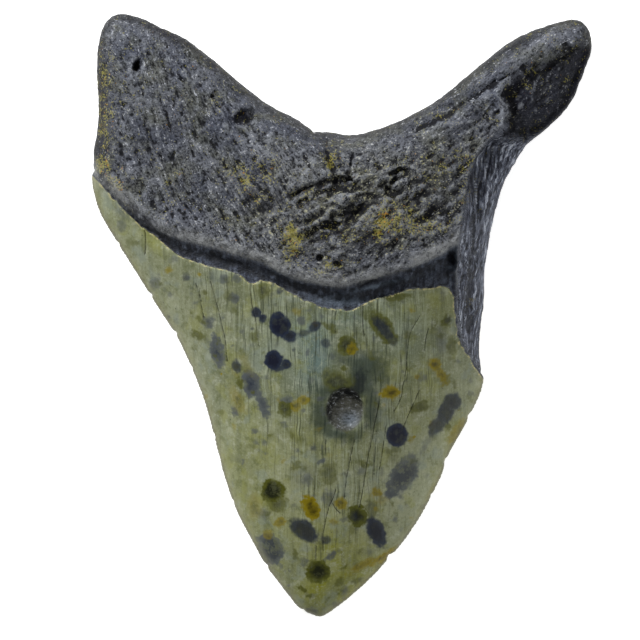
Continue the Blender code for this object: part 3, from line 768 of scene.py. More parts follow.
OLIVES = [
    (134.7, 243.6, 10, 4, -10, 0.6, 0.8), (229, 291, 3, 9, 0, 0.45, 0.8), (263, 290, 7, 9, 0, 0.6, 0.8),
    (234, 310, 4.5, 3.5, 0, 0.6, 0.7), (197.7, 335, 9, 4, -10, 0.8, 0.5), (252.5, 336, 5, 5, 0, 0.7, 0.6),
    (241.7, 350, 3.5, 3, 0, 0.6, 0.7), (240, 384, 5, 6, 10, 0.85, 0.5), (329.7, 327, 9, 4, -28, 0.75, 0.6),
    (369, 316, 11, 7, -30, 0.7, 0.8), (382, 328, 10, 23, 42, 0.9, 0.6), (397.6, 297.5, 13, 4, 8, 0.85, 0.6),
    (445.7, 321, 5, 7, 0, 0.9, 0.6), (408, 334, 6, 5, 0, 0.55, 1.0), (347, 346, 11, 10, 0, 0.9, 0.5),
    (450.7, 345.6, 5, 8, -10, 0.7, 0.8), (444, 377, 5, 7, 20, 0.75, 0.6), (285, 409, 8, 8, 0, 0.85, 0.5),
    (252, 447, 5, 3, 0, 0.5, 0.6), (296, 464.5, 6.5, 5, -20, 0.75, 0.5), (328, 473, 9, 12, -15, 0.6, 0.7),
    (364, 463, 7, 3, -30, 0.75, 0.6), (394, 450, 8, 5, 0, 0.7, 0.7), (394, 459, 6, 8, 0, 0.35, 0.9),
    (418, 407, 9, 5, 32, 0.8, 0.5), (273, 490, 12, 12, 0, 1.1, 0.5), (278, 504, 10, 9, 0, 0.75, 0.6),
    (358, 515, 10, 11, 0, 1.4, 0.6), (371, 510, 8, 10, 0, 0.6, 0.8), (318.4, 572, 12, 12, 10, 1.0, 0.5),
    (296, 554, 2.5, 5, 0, 0.7, 0.5), (339, 582, 3, 5, -30, 0.7, 0.6), (337, 381, 15, 10, 0, 0.8, 1.2),
    (326, 377, 6, 9, 0, 0.7, 0.8), (301, 440, 5, 6, 0, 0.35, 0.9), (352, 529, 3, 6, 0, 0.5, 0.8),
    (356, 582, 6, 2, 15, 0.6, 0.7), (326, 601, 6, 1.8, 35, 1.0, 0.5), (338, 593, 7, 1.6, 42, 0.9, 0.5),
    (303, 590, 7, 1.6, -45, 0.9, 0.5), (346, 566, 6, 1.8, 40, 0.9, 0.5), (314, 448, 4, 8, 0, 0.2, 1.2),
]  # fmt: skip
OCHRES = [
    (168.7, 270, 4, 4, 0, 0.8, 0.7), (390, 392.5, 9.5, 6.5, 8, 1.2, 0.7), (434, 364, 6, 6, 0, 1.0, 0.8),
    (441, 374, 5, 9, 30, 0.8, 0.8), (296, 406, 5, 6, -35, 0.7, 0.6), (304, 400, 5, 5, 0, 0.75, 0.5),
    (376, 492, 6, 5, 0, 0.85, 0.6), (382, 500, 6, 4, 0, 0.4, 0.8), (340, 502, 6, 6, 0, 0.85, 0.6),
    (311.5, 507.5, 8, 13, 35, 1.2, 0.5), (279.4, 522, 6.5, 5, 20, 0.75, 0.5),
    (268, 533, 4, 5, -20, 0.6, 0.6), (254.5, 507, 6, 12, 0, 0.45, 1.4), (238, 400, 5, 14, 25, 0.5, 1.2),
    (352, 349, 5, 6, 0, 0.8, 0.6), (221.8, 374, 1.6, 1.6, 0, 1.0, 0.3), (414, 437, 1.8, 1.8, 0, 0.9, 0.3),
    (459, 430, 5, 14, -35, 0.8, 0.8), (385, 557, 16, 4, 28, 1.2, 0.8), (361, 566, 14, 3.5, 25, 0.8, 0.9),
    (436, 488, 3, 13, -30, 0.4, 1.0), (247, 365, 4, 10, 30, 0.3, 1.4), (411, 441, 3, 4, 0, 0.5, 0.7),
    (333, 521, 3, 3, 0, 0.6, 0.6), (243, 277, 2, 2, 0, 0.6, 0.6), (299, 312, 4, 3, 0, 0.5, 0.8),
    (329, 455, 3, 3, 0, 0.3, 0.8), (169, 425, 2, 2, 0, 0.4, 0.6), (383, 404, 2, 2, 0, 0.4, 0.6),
]  # fmt: skip
INKS = [
    (256.6, 312.5, 6, 6, 0, 0.95, 0.45), (262.4, 317.8, 4.5, 4.5, 0, 0.95, 0.45),
    (280, 324.5, 10.5, 13, 15, 1.0, 0.4), (290, 336, 8, 6, -30, 0.95, 0.5),
    (303, 334, 10, 3.5, 22, 0.7, 0.6), (314.5, 327, 7, 5, 35, 0.85, 0.5),
    (273.5, 360, 9.5, 10.5, 0, 1.0, 0.4), (286, 364, 5.5, 4.5, -15, 1.0, 0.4),
    (278, 367, 8, 4, 0, 0.9, 0.5), (397, 434.6, 11.5, 12.5, 0, 1.0, 0.4),
    (376.5, 532, 9, 17, 20, 0.95, 0.5), (452, 402, 10, 9, -30, 0.85, 0.6),
    (446, 412, 9, 13, -35, 0.85, 0.6), (437, 425, 7, 12, -35, 0.8, 0.6), (304, 530, 17, 9.5, -38, 0.9, 0.6),
    (325, 540, 5.5, 4.5, 0, 0.8, 0.6), (187, 277.6, 3.5, 3.5, 0, 0.7, 0.6),
    (281.5, 290, 4, 4, -30, 0.7, 0.7), (237, 366, 5, 6, 20, 0.8, 0.5), (325.5, 343, 5, 4.5, 0, 0.7, 0.6),
    (212, 276, 3, 5, 0, 0.5, 0.8), (385, 331, 4.5, 16, 42, 0.6, 0.5), (393, 342, 5, 5, 0, 0.5, 0.6),
    (353, 516, 4, 5, 0, 0.5, 0.9), (252, 329, 1.2, 1.2, 0, 0.8, 0.4), (294, 349, 1.5, 1.5, 0, 0.9, 0.4),
    (448, 319, 3, 4, 0, 0.5, 0.8),
]  # fmt: skip


FAR_OUTSIDE = 9.0
SPECKLED_FROM = (130, 270)
SPECKLED_TO = (475, 608)


def speckled(count, size, seed):
    """Small spots scattered over the crown with a fixed seed."""
    dice = np.random.default_rng(seed)
    return [
        (*dice.uniform(SPECKLED_FROM, SPECKLED_TO), *dice.uniform(0.4, 1.3, 2) * size, dice.uniform(0, 90),
         dice.uniform(0.35, 0.85), dice.uniform(0.4, 0.8))
        for _ in range(count)
    ]  # fmt: skip


def stain(points, spots):
    """For each point, the depth inside the spot that shows most there, its strength and its softness."""
    best = np.full(len(points), -1e9)
    made = np.tile((-FAR_OUTSIDE, 0.0, 1.0), (len(points), 1))
    for column, row, wide, tall, turn, strength, softness in spots:
        size = PIXEL * min(wide, tall)
        depth = (1 - reach(points, (column, row), (PIXEL * wide, PIXEL * tall), turn)) * size
        depth = np.maximum(depth, -FAR_OUTSIDE)
        shows = np.clip(depth / softness + 0.5, -FAR_OUTSIDE, 1) * strength
        closer = shows > best
        best[closer] = shows[closer]
        made[closer, 0] = depth[closer]
        made[closer, 1:] = strength, softness
    made[~is_top, 0] = -FAR_OUTSIDE
    return made


stains = {
    "veil": stain(flat, VEILS + speckled(220, 2.2, 31)),
    "olive": stain(flat, OLIVES + speckled(130, 2.4, 32)),
    "ochre": stain(flat, OCHRES + speckled(40, 1.6, 33)),
    "ink": stain(flat, INKS),
}
print({name: int((values[:, 0] > 0).sum()) for name, values in stains.items()}, "vertices in spots")

# %% [markdown]
# ## Broad shades
# Larger changes of colour have no edge, so they are sums of soft ellipses. On the crown they are a bluish
# stain, a yellow-green one, the dark halo round the crater and painted light on the lower part and the left
# edge. On the root they are dark patches with painted shade in furrows, hollows and holes, painted highlights
# on lumps, ridges, rims and the lip, and patches of ochre dust that settled in the hollows.

# %% Places of the shades
# Soft ellipses are (place, half-width, half-height, turn, strength), sizes in pixels.
BLUES = [
    ((318, 352), 14, 30, 0, 0.9), ((350, 318), 22, 12, 0, 0.6), ((300, 330), 12, 14, 0, 0.5),
    ((400, 330), 30, 40, 0, 0.35), ((306, 378), 14, 20, 0, 0.4), ((285, 345), 30, 40, 0, 0.25),
    ((350, 419), 9, 7, 0, 1.0),
]  # fmt: skip
GREENS = [
    ((382, 364), 12, 14, 0, 0.8), ((155, 235), 14, 22, 30, 0.6), ((265, 286), 30, 10, -15, 0.5),
    ((243, 395), 14, 34, 15, 0.4), ((420, 380), 30, 40, 0, 0.45), ((330, 440), 60, 30, 0, 0.4),
    ((300, 520), 60, 50, 0, 0.4), ((250, 480), 24, 60, 15, 0.45), ((370, 580), 24, 20, 0, 0.8),
    ((335, 560), 44, 36, 0, 0.4),
    ((395, 310), 40, 14, 10, 0.5), ((440, 310), 14, 24, 0, 0.5), ((332, 594), 34, 20, 0, 1.3),
    ((345, 548), 30, 22, 0, 0.6), ((120, 222), 8, 20, 30, 0.3), ((455, 440), 10, 20, -35, 0.4),
]  # fmt: skip
HALOS = [
    ((319, 409), 9, 16, 0, 0.75), ((325, 425), 11, 9, -45, 0.7), ((341, 434), 13, 7, -10, 0.7),
    ((359, 433), 12, 8, 30, 0.5), ((370, 417), 8, 13, 5, 0.5), ((328, 392), 9, 10, 40, 0.4),
    ((358, 380), 9, 14, -10, 1.4), ((345, 390), 18, 5, 0, 1.1), ((371, 400), 8, 20, 8, 0.6),
    ((376, 368), 13, 15, 0, 0.65), ((352, 360), 24, 10, 10, 0.5), ((313, 382), 10, 14, 0, 0.35),
    ((383, 378), 6, 12, 0, 0.25), ((330, 352), 16, 8, 0, 0.2),
]  # fmt: skip
# Painted light: paler patches on the crown's lower part and its left edge.
CROWN_PAINTED_LIGHT = [
    ((105, 300), 60, 110, 30, 0.5), ((185, 310), 18, 40, 25, 0.5), ((470, 392), 18, 16, 0, 0.6),
    ((440, 440), 26, 40, 0, 0.45), ((300, 500), 60, 60, 0, 1.0), ((345, 552), 30, 30, 0, 1.0),
    ((400, 490), 36, 60, -30, 0.9), ((215, 430), 14, 60, 15, 0.1),
]  # fmt: skip
DUSTS = [
    ((103, 165), 7, 10, 0, 1.0), ((113, 183), 9, 9, 0, 0.5), ((120, 186), 4, 8, 35, 1.2),
    ((185, 172), 9, 7, 0, 0.5), ((236, 176), 14, 9, 0, 0.55), ((252, 190), 18, 12, 0, 0.5),
    ((262, 168), 20, 10, 0, 0.55), ((292, 246), 10, 15, 0, 1.1), ((289, 232), 14, 10, 0, 0.6),
    ((333, 265), 9, 6, 0, 0.9), ((380, 226), 7, 16, -8, 1.15), ((398, 216), 20, 12, 10, 0.7),
    ((426, 228), 26, 9, 10, 0.6), ((332, 155), 8, 16, 0, 0.5), ((330, 165), 5, 5, 0, 0.7),
    ((470, 162), 9, 12, 0, 0.45), ((472, 196), 6, 12, 0, 0.5), ((473, 300), 4, 6, 0, 1.1),
    ((435, 116), 6, 3, 25, 1.0), ((355, 235), 30, 12, 0, 0.35), ((110, 120), 10, 40, 10, 0.3),
    ((105, 80), 9, 34, 0, 0.45), ((103, 140), 7, 26, 0, 0.45), ((125, 95), 14, 24, 35, 0.25),
    ((225, 60), 30, 10, -38, 0.22), ((440, 165), 26, 16, 30, 0.35), ((300, 200), 22, 10, 20, 0.4),
    ((520, 140), 12, 5, 20, 0.5), ((172, 192), 7, 9, 0, 0.4), ((245, 258), 30, 6, -22, 0.35),
    ((318, 275), 26, 8, 0, 0.35), ((170, 266), 3, 3, 0, 1.0), ((230, 272), 10, 3, -12, 0.7),
    ((462, 200), 4, 14, 0, 0.4),
]  # fmt: skip
# Dark patches of the root, partly its own colour and partly painted shade in furrows, hollows and holes.
DARKS_AND_PAINTED_SHADE = [
    ((239, 114), 5, 5, 0, 1.2), ((245, 118), 13, 9, 15, 0.6), ((137, 67), 5, 8, -8, 1.0),
    ((168, 34), 26, 6, -27, 1.0), ((213, 97), 3, 3, 0, 0.9), ((512, 92), 9, 16, 0, 0.4),
    ((355, 212), 20, 8, 32, 0.9), ((328, 236), 26, 8, 20, 0.8), ((262, 195), 26, 12, 0, 0.25),
    ((300, 222), 20, 10, 10, 0.4), ((445, 178), 40, 20, 20, 0.45), ((372, 236), 36, 12, 8, 0.45),
    ((404, 205), 30, 10, 25, 0.45), ((101, 105), 7, 64, 0, 0.8), ((240, 119), 9, 6, 0, 0.8),
    ((378, 281), 24, 3, 14, 0.9), ((215, 68), 30, 4, -38, 0.4), ((150, 150), 30, 14, -30, 0.25),
    ((330, 160), 8, 24, 0, 0.45), ((142, 217), 36, 6.5, -40, 1.1), ((230, 262), 40, 4, -12, 0.5),
    ((436, 212), 16, 6, 30, 0.7), ((388, 190), 6, 5, 0, 0.7), ((400, 174), 9, 3, 8, 0.7),
    ((345, 184), 12, 3, 0, 0.8), ((315, 190), 24, 3, 14, 0.9), ((314, 201), 16, 2.5, 20, 0.6),
    ((370, 245), 30, 9, 12, 0.4), ((250, 200), 18, 9, 30, 0.45), ((175, 130), 16, 6, 0, 0.35),
    ((108, 140), 8, 40, 0, 0.35), ((270, 205), 26, 8, 15, 0.4), ((390, 262), 24, 4, 12, 0.25),
    ((490, 150), 14, 9, 30, 0.4), ((450.5, 256), 2.6, 5.5, 8, 1.2), ((425, 150), 40, 5, 30, 0.3),
    ((470, 123), 24, 5, 38, 0.6), ((195, 228), 24, 5, -30, 0.4), ((446, 272), 8, 6, 0, 0.6),
]  # fmt: skip
# Painted highlights on lumps, ridges, rims and the lip.
PAINTED_HIGHLIGHTS = [
    ((165, 85), 30, 30, -35, 0.1), ((280, 155), 34, 12, -25, 0.55), ((395, 150), 34, 10, 22, 0.4),
    ((540, 42), 36, 7, 30, 0.45), ((460, 120), 26, 8, 33, 0.3), ((345, 195), 7, 6, 0, 0.9),
    ((440, 245), 30, 7, 20, 0.6), ((380, 262), 40, 7, 10, 0.5), ((230, 236), 60, 8, -20, 0.5),
    ((320, 274), 34, 6, -5, 0.7), ((376, 286), 28, 1.8, 13, 1.1), ((318, 196), 16, 2.5, 20, 0.7),
    ((403, 181), 7, 4, 0, 0.6), ((178, 215), 30, 9, -30, 0.35), ((500, 112), 3, 16, 3, 0.7),
    ((576, 90), 3, 14, -28, 1.0), ((560, 113), 9, 3, 40, 0.8), ((548, 88), 6, 8, 20, 0.3),
    ((455, 259), 1.3, 8, -6, 1.3), ((451, 268), 5, 2, 0, 0.7), ((345, 301), 34, 5, 0, 0.7),
]  # fmt: skip


def soft(points, listed):
    """The sum of soft ellipses."""
    made = np.zeros(len(points))
    for where, wide, tall, turn, strength in listed:
        made += strength * np.exp(-(reach(points, where, (PIXEL * wide, PIXEL * tall), turn) ** 2))
    return np.clip(made, 0, 1.3) * is_top


crown_shades = np.column_stack([soft(flat, BLUES), soft(flat, GREENS), soft(flat, HALOS)])
# The right lobe's scoop joins the dark patches, partly as painted shade.
darks_and_painted_shade = np.clip(soft(flat, DARKS_AND_PAINTED_SHADE) + 0.95 * scoop(flat) * is_top, 0, 1.15)
root_shades = np.column_stack([darks_and_painted_shade, soft(flat, PAINTED_HIGHLIGHTS), soft(flat, DUSTS)])
print("mean dust:", root_shades[:, 2].mean().round(3))

# %% [markdown]
# ## Painted shade in hollows, painted highlights on crests
# The dentine is painted darker in its hollows, as painted shade, and the root lighter on its crests, as a
# painted highlight. How far a vertex lies under the mean of its neighbourhood, along its normal, says which
# it is. A few rounds of averaging along the mesh's edges give that mean.

# %% Measure the hollows
def smoothed(values, triangles, rounds):
    """Values averaged with their neighbours a number of times."""
    for _ in range(rounds):
        total = np.zeros(len(values))
        weight = np.zeros(len(values))
        for i, j in ((0, 1), (1, 2), (2, 0)):
            np.add.at(total, triangles[:, i], values[triangles[:, j]])
            np.add.at(weight, triangles[:, i], 1)
        values = total / np.maximum(weight, 1)
    return values


SMOOTHINGS = 10

mean_place = np.column_stack([smoothed(axis, triangles, SMOOTHINGS) for axis in points.T])
under_mean = ((mean_place - points) * normals).sum(1)
hollow = np.maximum(under_mean, 0) * ease(inside / 2.5) + np.minimum(under_mean, 0) * ease((inside - 3) / 3)
print("hollows reach", round(float(np.percentile(hollow[is_top], 99)), 2), "mm")

# %% [markdown]
# ## Make the mesh
# The skin becomes one mesh with smooth shading, in the frame's metres. What the shader needs travels with
# the vertices as named attributes.

# %% Build the skin
def crater_painted_shade(points):
    """Painted shade on the wall of the crown's crater that faces away from the key, at the top and the left.
    """
    out = reach(points, *CRATER)
    side = (points - place(CRATER[0])) @ (-0.5, 0.87) / 4.2
    return ease((1.12 - out) / 0.16) * ease((out - 0.66 + 0.42 * side) / 0.35) * ease(side + 0.75)


def add_skin():
    """The whole tooth as one mesh with its measured values as attributes."""
    data = bpy.data.meshes.new("tooth_skin")
    data.from_pydata((points * MM).tolist(), [], triangles.tolist())
    data.shade_smooth()
    crater_floor = ease((1.1 - reach(flat, *CRATER)) / 0.2)
    numbers = {
        "past_enamel": past_enamel, "past_lip": np.where(is_top, past_lip, FAR_OUTSIDE), "rim": inside,
        "neck": is_neck, "flank": is_flank, "rugged": rugged * is_top, "hollow": hollow,
        "crack": crack * is_crown, "pale": soft(flat, CROWN_PAINTED_LIGHT),
        "pit_floor": crater_floor * is_top, "pit_painted_shade": crater_painted_shade(flat) * is_top,
    }  # fmt: skip
    for name, values in numbers.items():
        attribute = data.attributes.new(name, "FLOAT", "POINT")
        attribute.data.foreach_set("value", values.astype(np.float32))
    vectors = {"crown_shades": crown_shades, "root_shades": root_shades, "along_fibres": along_fibres}
    for name, values in {**stains, **vectors}.items():
        attribute = data.attributes.new(name, "FLOAT_VECTOR", "POINT")
        attribute.data.foreach_set("vector", values.astype(np.float32).ravel())
    skin = bpy.data.objects.new("tooth_skin", data)
    bpy.context.scene.collection.objects.link(skin)
    return skin


skin = add_skin()
loose = len(points) - len(np.unique(triangles))
print("skin:", len(skin.data.polygons), "triangles,", loose, "loose points")

# %% [markdown]
# ## Shader maths in Python
# A material's nodes are easier to read as sums. One class wraps an output socket and turns arithmetic into
# Math nodes. Everything else, such as a noise texture or a colour mix, comes from the one method node,
# which takes the node's kind, its settings and its sockets' values.

# %% A small language for materials
class Value:
    """A number, colour or vector in a material. Arithmetic on it adds Math nodes."""

    def __init__(self, paint, socket):
        self.paint = paint
        self.socket = socket

    def maths(self, operation, *values):
        sockets = dict(enumerate(values))
        return self.paint.node("Math", {"operation": operation}, sockets)

    def __add__(self, other):
        return self.maths("ADD", self, other)

    def __sub__(self, other):
        return self.maths("SUBTRACT", self, other)

    def __rsub__(self, other):
        return self.maths("SUBTRACT", other, self)

    def __mul__(self, other):
        return self.maths("MULTIPLY", self, other)

    def __truediv__(self, other):
        return self.maths("DIVIDE", self, other)

    __radd__ = __add__
    __rmul__ = __mul__


class Paint:
    """A material's node tree."""

    def __init__(self, name):
        self.material = bpy.data.materials.new(name)
        self.material.use_nodes = True
        self.tree = self.material.node_tree
        self.shader = self.tree.nodes["Principled BSDF"]

    def fill(self, node, sockets):
        """Sets or links a node's sockets."""
        for name, value in sockets.items():
            if isinstance(value, Value):
                self.tree.links.new(value.socket, node.inputs[name])
            else:
                node.inputs[name].default_value = value

    def node(self, kind, settings, sockets, output=0):
        """Adds a node: its settings first, then its sockets. Hands back one of its outputs."""
        made = self.tree.nodes.new("ShaderNode" + kind)
        for name, value in settings.items():
            setattr(made, name, value)
        self.fill(made, sockets)
        return Value(self, made.outputs[output])

    def number(self, name):
        """A number that the mesh carries at its vertices."""
        return self.node("Attribute", {"attribute_name": name}, {}, "Fac")

    def three(self, name):
        """The three numbers of a vector that the mesh carries."""
        vector = self.node("Attribute", {"attribute_name": name}, {}, "Vector")
        return [self.node("SeparateXYZ", {}, {0: vector}, i) for i in range(3)]

    def step(self, value, start, end):
        """A soft step from 0 at start to 1 at end."""
        settings = {"interpolation_type": "SMOOTHSTEP"}
        return self.node("MapRange", settings, {"Value": value, "From Min": start, "From Max": end})

    def mix(self, mask, first, second):
        """The first colour where the mask is 0, the second where it is 1."""
        return self.node("Mix", {"data_type": "RGBA"}, {0: mask, 6: first, 7: second}, 2)

    def layers(self, colour, *listed):
        """The colour under more layers, each a mask and a tint as red, green and blue. The last is on top."""
        for mask, *tint in listed:
            colour = self.mix(mask, colour, shade(*tint))
        return colour

    def noise(self, where, size, detail=3.0, sharp=0.5):
        """Fractal noise with features of a size in millimetres, about 0 to 1."""
        sockets = {"Vector": where, "Scale": 1 / size, "Detail": detail, "Roughness": sharp}
        return self.node("TexNoise", {}, sockets)

    def cells(self, where, size):
        """The distance to the nearest of many scattered points, for pores and grains."""
        return self.node("TexVoronoi", {}, {"Vector": where, "Scale": 1 / size})


def shade(red, green, blue):
    """A colour as a picture shows it, 0 to 255, as the light it reflects."""
    return (*(((c / 255 + 0.055) / 1.055) ** 2.4 for c in (red, green, blue)), 1.0)


paint = Paint("fossil_tooth")
where = paint.node("TexCoord", {}, {}, "Object")
where = paint.node("VectorMath", {"operation": "SCALE"}, {0: where, "Scale": 1 / MM})
waver = (paint.noise(where, 9.0, 2) - 0.5) * 1.6
waver = paint.node("CombineXYZ", {}, {0: waver})
stretched = paint.node("VectorMath", {"operation": "ADD"}, {0: where, 1: waver})
stretched = paint.node("VectorMath", {"operation": "MULTIPLY"}, {0: stretched, 1: (1.0, 0.03, 0.03)})
print("white is", [round(c, 2) for c in shade(255, 255, 255)])

# %% [markdown]
# ## The enamel's colour
# Fresh enamel was white. The ground turned this one grey-green, bluish in the middle and yellow-green
# towards the tip, with fine dark ribs along its height. Each layer is a mask and a tint, and the last one
# lies on top.

# %% Colour the enamel
blue, green, halo = paint.three("crown_shades")
mottle = paint.noise(where, 7.0, 4, 0.6)
patches = paint.noise(where, 5.5, 3, 0.6)
smear = paint.noise(where, 2.4, 5, 0.7)
fine = paint.noise(where, 0.9, 3, 0.6)
dapple = paint.noise(where, 0.5, 3, 0.7)
bands = paint.noise(stretched, 2.4, 3, 0.6)
ribs_mask = paint.noise(stretched, 0.34, 2, 0.6)
centre_ribs = 1 - paint.step(paint.number("rim"), 20.0, 3.0)
ribs_shown = (centre_ribs * 0.9 + 0.12) * paint.step(mottle, 0.15, 0.55)
halo_edge = halo + (paint.noise(where, 1.5, 4, 0.7) - 0.5) * 0.9 + (ribs_mask - 0.5) * 0.12
enamel = paint.layers(
    paint.mix(paint.step(mottle, 0.35, 0.65), shade(107, 112, 86), shade(126, 131, 107)),
    # painted light on the crown's lower part and left edge
    (paint.number("pale") * 0.75, 146, 150, 120),
    (green * (paint.step(mottle, 0.3, 0.62) * 0.5 + 0.3), 118, 120, 34),
    (blue * 0.75, 88, 110, 112),
    (paint.step(bands, 0.5, 0.68) * 0.35, 74, 80, 58),
    (paint.step(smear, 0.51, 0.66) * 0.5, 80, 86, 46),
    (paint.step(smear, 0.47, 0.34) * 0.45, 158, 162, 142),
    (paint.step(dapple, 0.54, 0.68) * 0.25, 66, 72, 48),
    (paint.step(dapple, 0.46, 0.32) * 0.22, 170, 176, 152),
    (paint.step(patches, 0.54, 0.66) * 0.3, 126, 128, 54),
    (paint.step(patches, 0.46, 0.34) * 0.4, 120, 130, 122),
    (paint.step(ribs_mask, 0.55, 0.66) * ribs_shown * 0.75, 48, 54, 40),
    (paint.step(ribs_mask, 0.44, 0.32) * ribs_shown * 0.5, 154, 162, 138),
    (paint.step(halo_edge, 0.0, 0.8) * 0.76, 36, 48, 42),
    (paint.step(halo_edge, 0.8, 1.3) * 0.7, 20, 25, 30),
)
print("enamel without stains:", len(paint.tree.nodes), "nodes")

# %% [markdown]
# ## The stains
# The stains lie over the enamel, from the faintest veil to the darkest ink. Each is cut with a little noise
# so that no rim is a perfect ellipse. Over them come specks, cracks and the crater. The crater's floor is
# brown-grey above and a lighter bluish grey below, partly painted light, with dark streaks and painted
# glints, and its wall at the top and the left gets painted shade.

# %% Colour the stains, the cracks and the crater
bend = (paint.noise(where, 2.8, 2, 0.6) - 0.5) * 2.0
crumble = (paint.noise(where, 0.7, 3, 0.6) - 0.5) * 0.7
blotch = (paint.noise(where, 1.2, 4, 0.7) - 0.5) * 2.2


def stained(colour, name, core, rim_colour, ragged_edge, rim_width, patchy):
    """The colour under one kind of spot, which has a core, a rim of another tint, a ragged edge and gaps."""
    depth, strength, softness = paint.three(name)
    depth = depth + bend * (0.4 + 0.6 * ragged_edge) + crumble * ragged_edge
    cut = paint.step(depth / softness + 0.5, -0.1, 1.2) * strength
    cut = cut * (1 - paint.step(smear, 0.48, 0.64) * patchy)
    inner = paint.mix(paint.step(depth + blotch, 0.1, rim_width), rim_colour, core)
    return paint.mix(cut, colour, inner)


enamel = stained(enamel, "veil", shade(42, 47, 57), shade(76, 81, 82), 1.2, 1.8, 0.45)
enamel = stained(enamel, "olive", shade(26, 29, 12), shade(74, 77, 24), 1.2, 1.8, 0.35)
enamel = stained(enamel, "ochre", shade(62, 55, 6), shade(120, 108, 16), 1.2, 1.6, 0.2)
enamel = stained(enamel, "ink", shade(19, 22, 36), shade(33, 40, 55), 0.5, 1.2, 0.1)
specks = paint.step(paint.cells(where, 1.5), 0.16, 0.06) * paint.step(paint.noise(where, 5.0), 0.5, 0.7)
crack_shown = paint.number("crack") * paint.step(paint.noise(where, 1.6, 3), 0.36, 0.52)
enamel = paint.layers(enamel, (specks * 0.6, 48, 52, 44), (crack_shown * 0.9, 14, 16, 14))
pit_painted_shade, pit_floor = paint.number("pit_painted_shade"), paint.number("pit_floor")
slanted = {"Vector": where, "Rotation": (0, 0, math.radians(50)), "Scale": (0.6, 1.0, 1.0)}
glassy = paint.noise(paint.node("Mapping", {}, slanted), 0.7, 4, 0.75)
# The crater floor: its lighter bluish lower part is partly painted light, and its bright streaks are painted
# glints.
floor_colour = paint.layers(
    paint.mix(blue, shade(76, 75, 70), shade(110, 118, 128)),
    (paint.step(glassy, 0.52, 0.36) * 0.8, 40, 42, 42),
    # painted glints
    (paint.step(glassy, 0.56, 0.66) * 0.8, 146, 152, 160),
)
enamel = paint.mix(pit_floor * 0.92, enamel, floor_colour)
# painted shade on the crater's wall at the top and the left
enamel = paint.layers(enamel, (pit_painted_shade * paint.step(glassy, 0.66, 0.46), 14, 17, 17))
print("enamel:", len(paint.tree.nodes), "nodes")

# %% [markdown]
# ## The cutting edge
# The edge is the thinnest enamel, so it is more yellow, with short dark strokes between the worn
# serrations.

# %% Colour the cutting edge
rim = paint.number("rim")
strokes = paint.step(paint.noise(where, 0.45, 2, 0.6), 0.55, 0.7) * paint.step(rim, 1.6, 0.2)
enamel = paint.layers(
    enamel,
    (paint.step(rim, 2.2, 0.1) * 0.35, 122, 118, 72),
    (paint.step(rim, 0.7, 0.1) * 0.6, 70, 66, 34),
    (strokes * 0.45, 58, 56, 36),
)

# %% [markdown]
# ## The root's colour
# Root dentine took up iron and went blue-grey to black. Up close it is salt and pepper: dark pores, pale
# grains and, in the sheltered places, ochre dust with a few orange grains.

# %% Colour the root
dark, light, dust = paint.three("root_shades")
hollow_mask = paint.number("hollow")
rugged_mask = paint.number("rugged")
along = paint.node("Attribute", {"attribute_name": "along_fibres"}, {}, "Vector")
cloud = paint.noise(where, 9.0, 4, 0.6)
grit = paint.noise(where, 0.42, 2, 0.6)
streaks = paint.noise(along, 0.8, 4, 0.7)
grains = grit * 0.36 + paint.noise(where, 1.3, 3, 0.65) * 0.3 + streaks * 0.34
dark_grains = paint.step(grains, 0.50, 0.43)
edge_shade = paint.step(rim + (cloud - 0.5) * 4.0 + (grains - 0.5) * 5.0, 3.2, 0.2) * 0.8
# Less where the dark patches and the painted edge shade lie, so pale grains and glints stay off them.
away_from_darks_and_shade = 1 - dark.maths("MAXIMUM", dark, edge_shade) * 0.68
root = paint.layers(
    paint.mix(paint.step(cloud, 0.35, 0.65), shade(72, 76, 88), shade(96, 99, 106)),
    (paint.step(paint.noise(where, 6.0, 3, 0.6), 0.45, 0.66) * 0.5, 84, 85, 66),
    (rugged_mask * 0.45, 86, 84, 62),
    # painted highlights on lumps, ridges, rims and the lip
    (light * 0.8, 122, 125, 133),
    (edge_shade, 22, 23, 21),
    # dark patches, partly painted shade in furrows, hollows and holes
    (dark * 0.88, 15, 16, 28),
    # painted shade in the hollows
    (paint.step(hollow_mask, 0.02, 0.18) * 0.9, 10, 11, 15),
    # painted highlight on the crests
    (paint.step(hollow_mask, -0.04, -0.25) * 0.5, 130, 134, 141),
    (dark_grains * (rugged_mask * 0.14 + 0.76), 14, 15, 21),
)
salt = paint.mix(dust + rugged_mask * 0.7, shade(172, 175, 184), shade(156, 152, 96))
root = paint.mix(paint.step(grains + rugged_mask * 0.02, 0.56, 0.61) * away_from_darks_and_shade * 0.85, root, salt)
pores = paint.step(paint.cells(where, 1.1), 0.24, 0.12) * paint.step(paint.noise(where, 3.0), 0.42, 0.56)
glints = paint.step(paint.cells(along, 0.8), 0.16, 0.07) * paint.step(paint.noise(where, 2.4), 0.46, 0.56)
dust_grit = grit * 0.6 + paint.noise(where, 2.2, 3, 0.6) * 0.4
orange = paint.step(paint.noise(where, 0.9, 3, 0.7) + dust * 0.10, 0.69, 0.76)
# A painted highlight on the rolled lip.
lip_painted_highlight = paint.step(paint.number("past_lip"), 3.6, 0.8) * paint.step(cloud, 0.25, 0.5)
root = paint.layers(
    root,
    (pores * 0.9, 10, 11, 14),
    (glints * away_from_darks_and_shade * 0.75, 186, 189, 194),
    (paint.step(dust_grit + dust * 0.14, 0.59, 0.66) * 0.65, 138, 132, 62),
    (orange * 0.8, 170, 122, 40),
    # painted highlight along the lip
    (lip_painted_highlight * (1 - dark * 0.8) * (0.8 - dark_grains * 0.4), 136, 138, 138),
)
print("root:", len(paint.tree.nodes), "nodes")

# %% [markdown]
# ## The bourlette and the broken flank
# The bourlette is darker and more even than the root, and the split flank shows pale fibre edges.

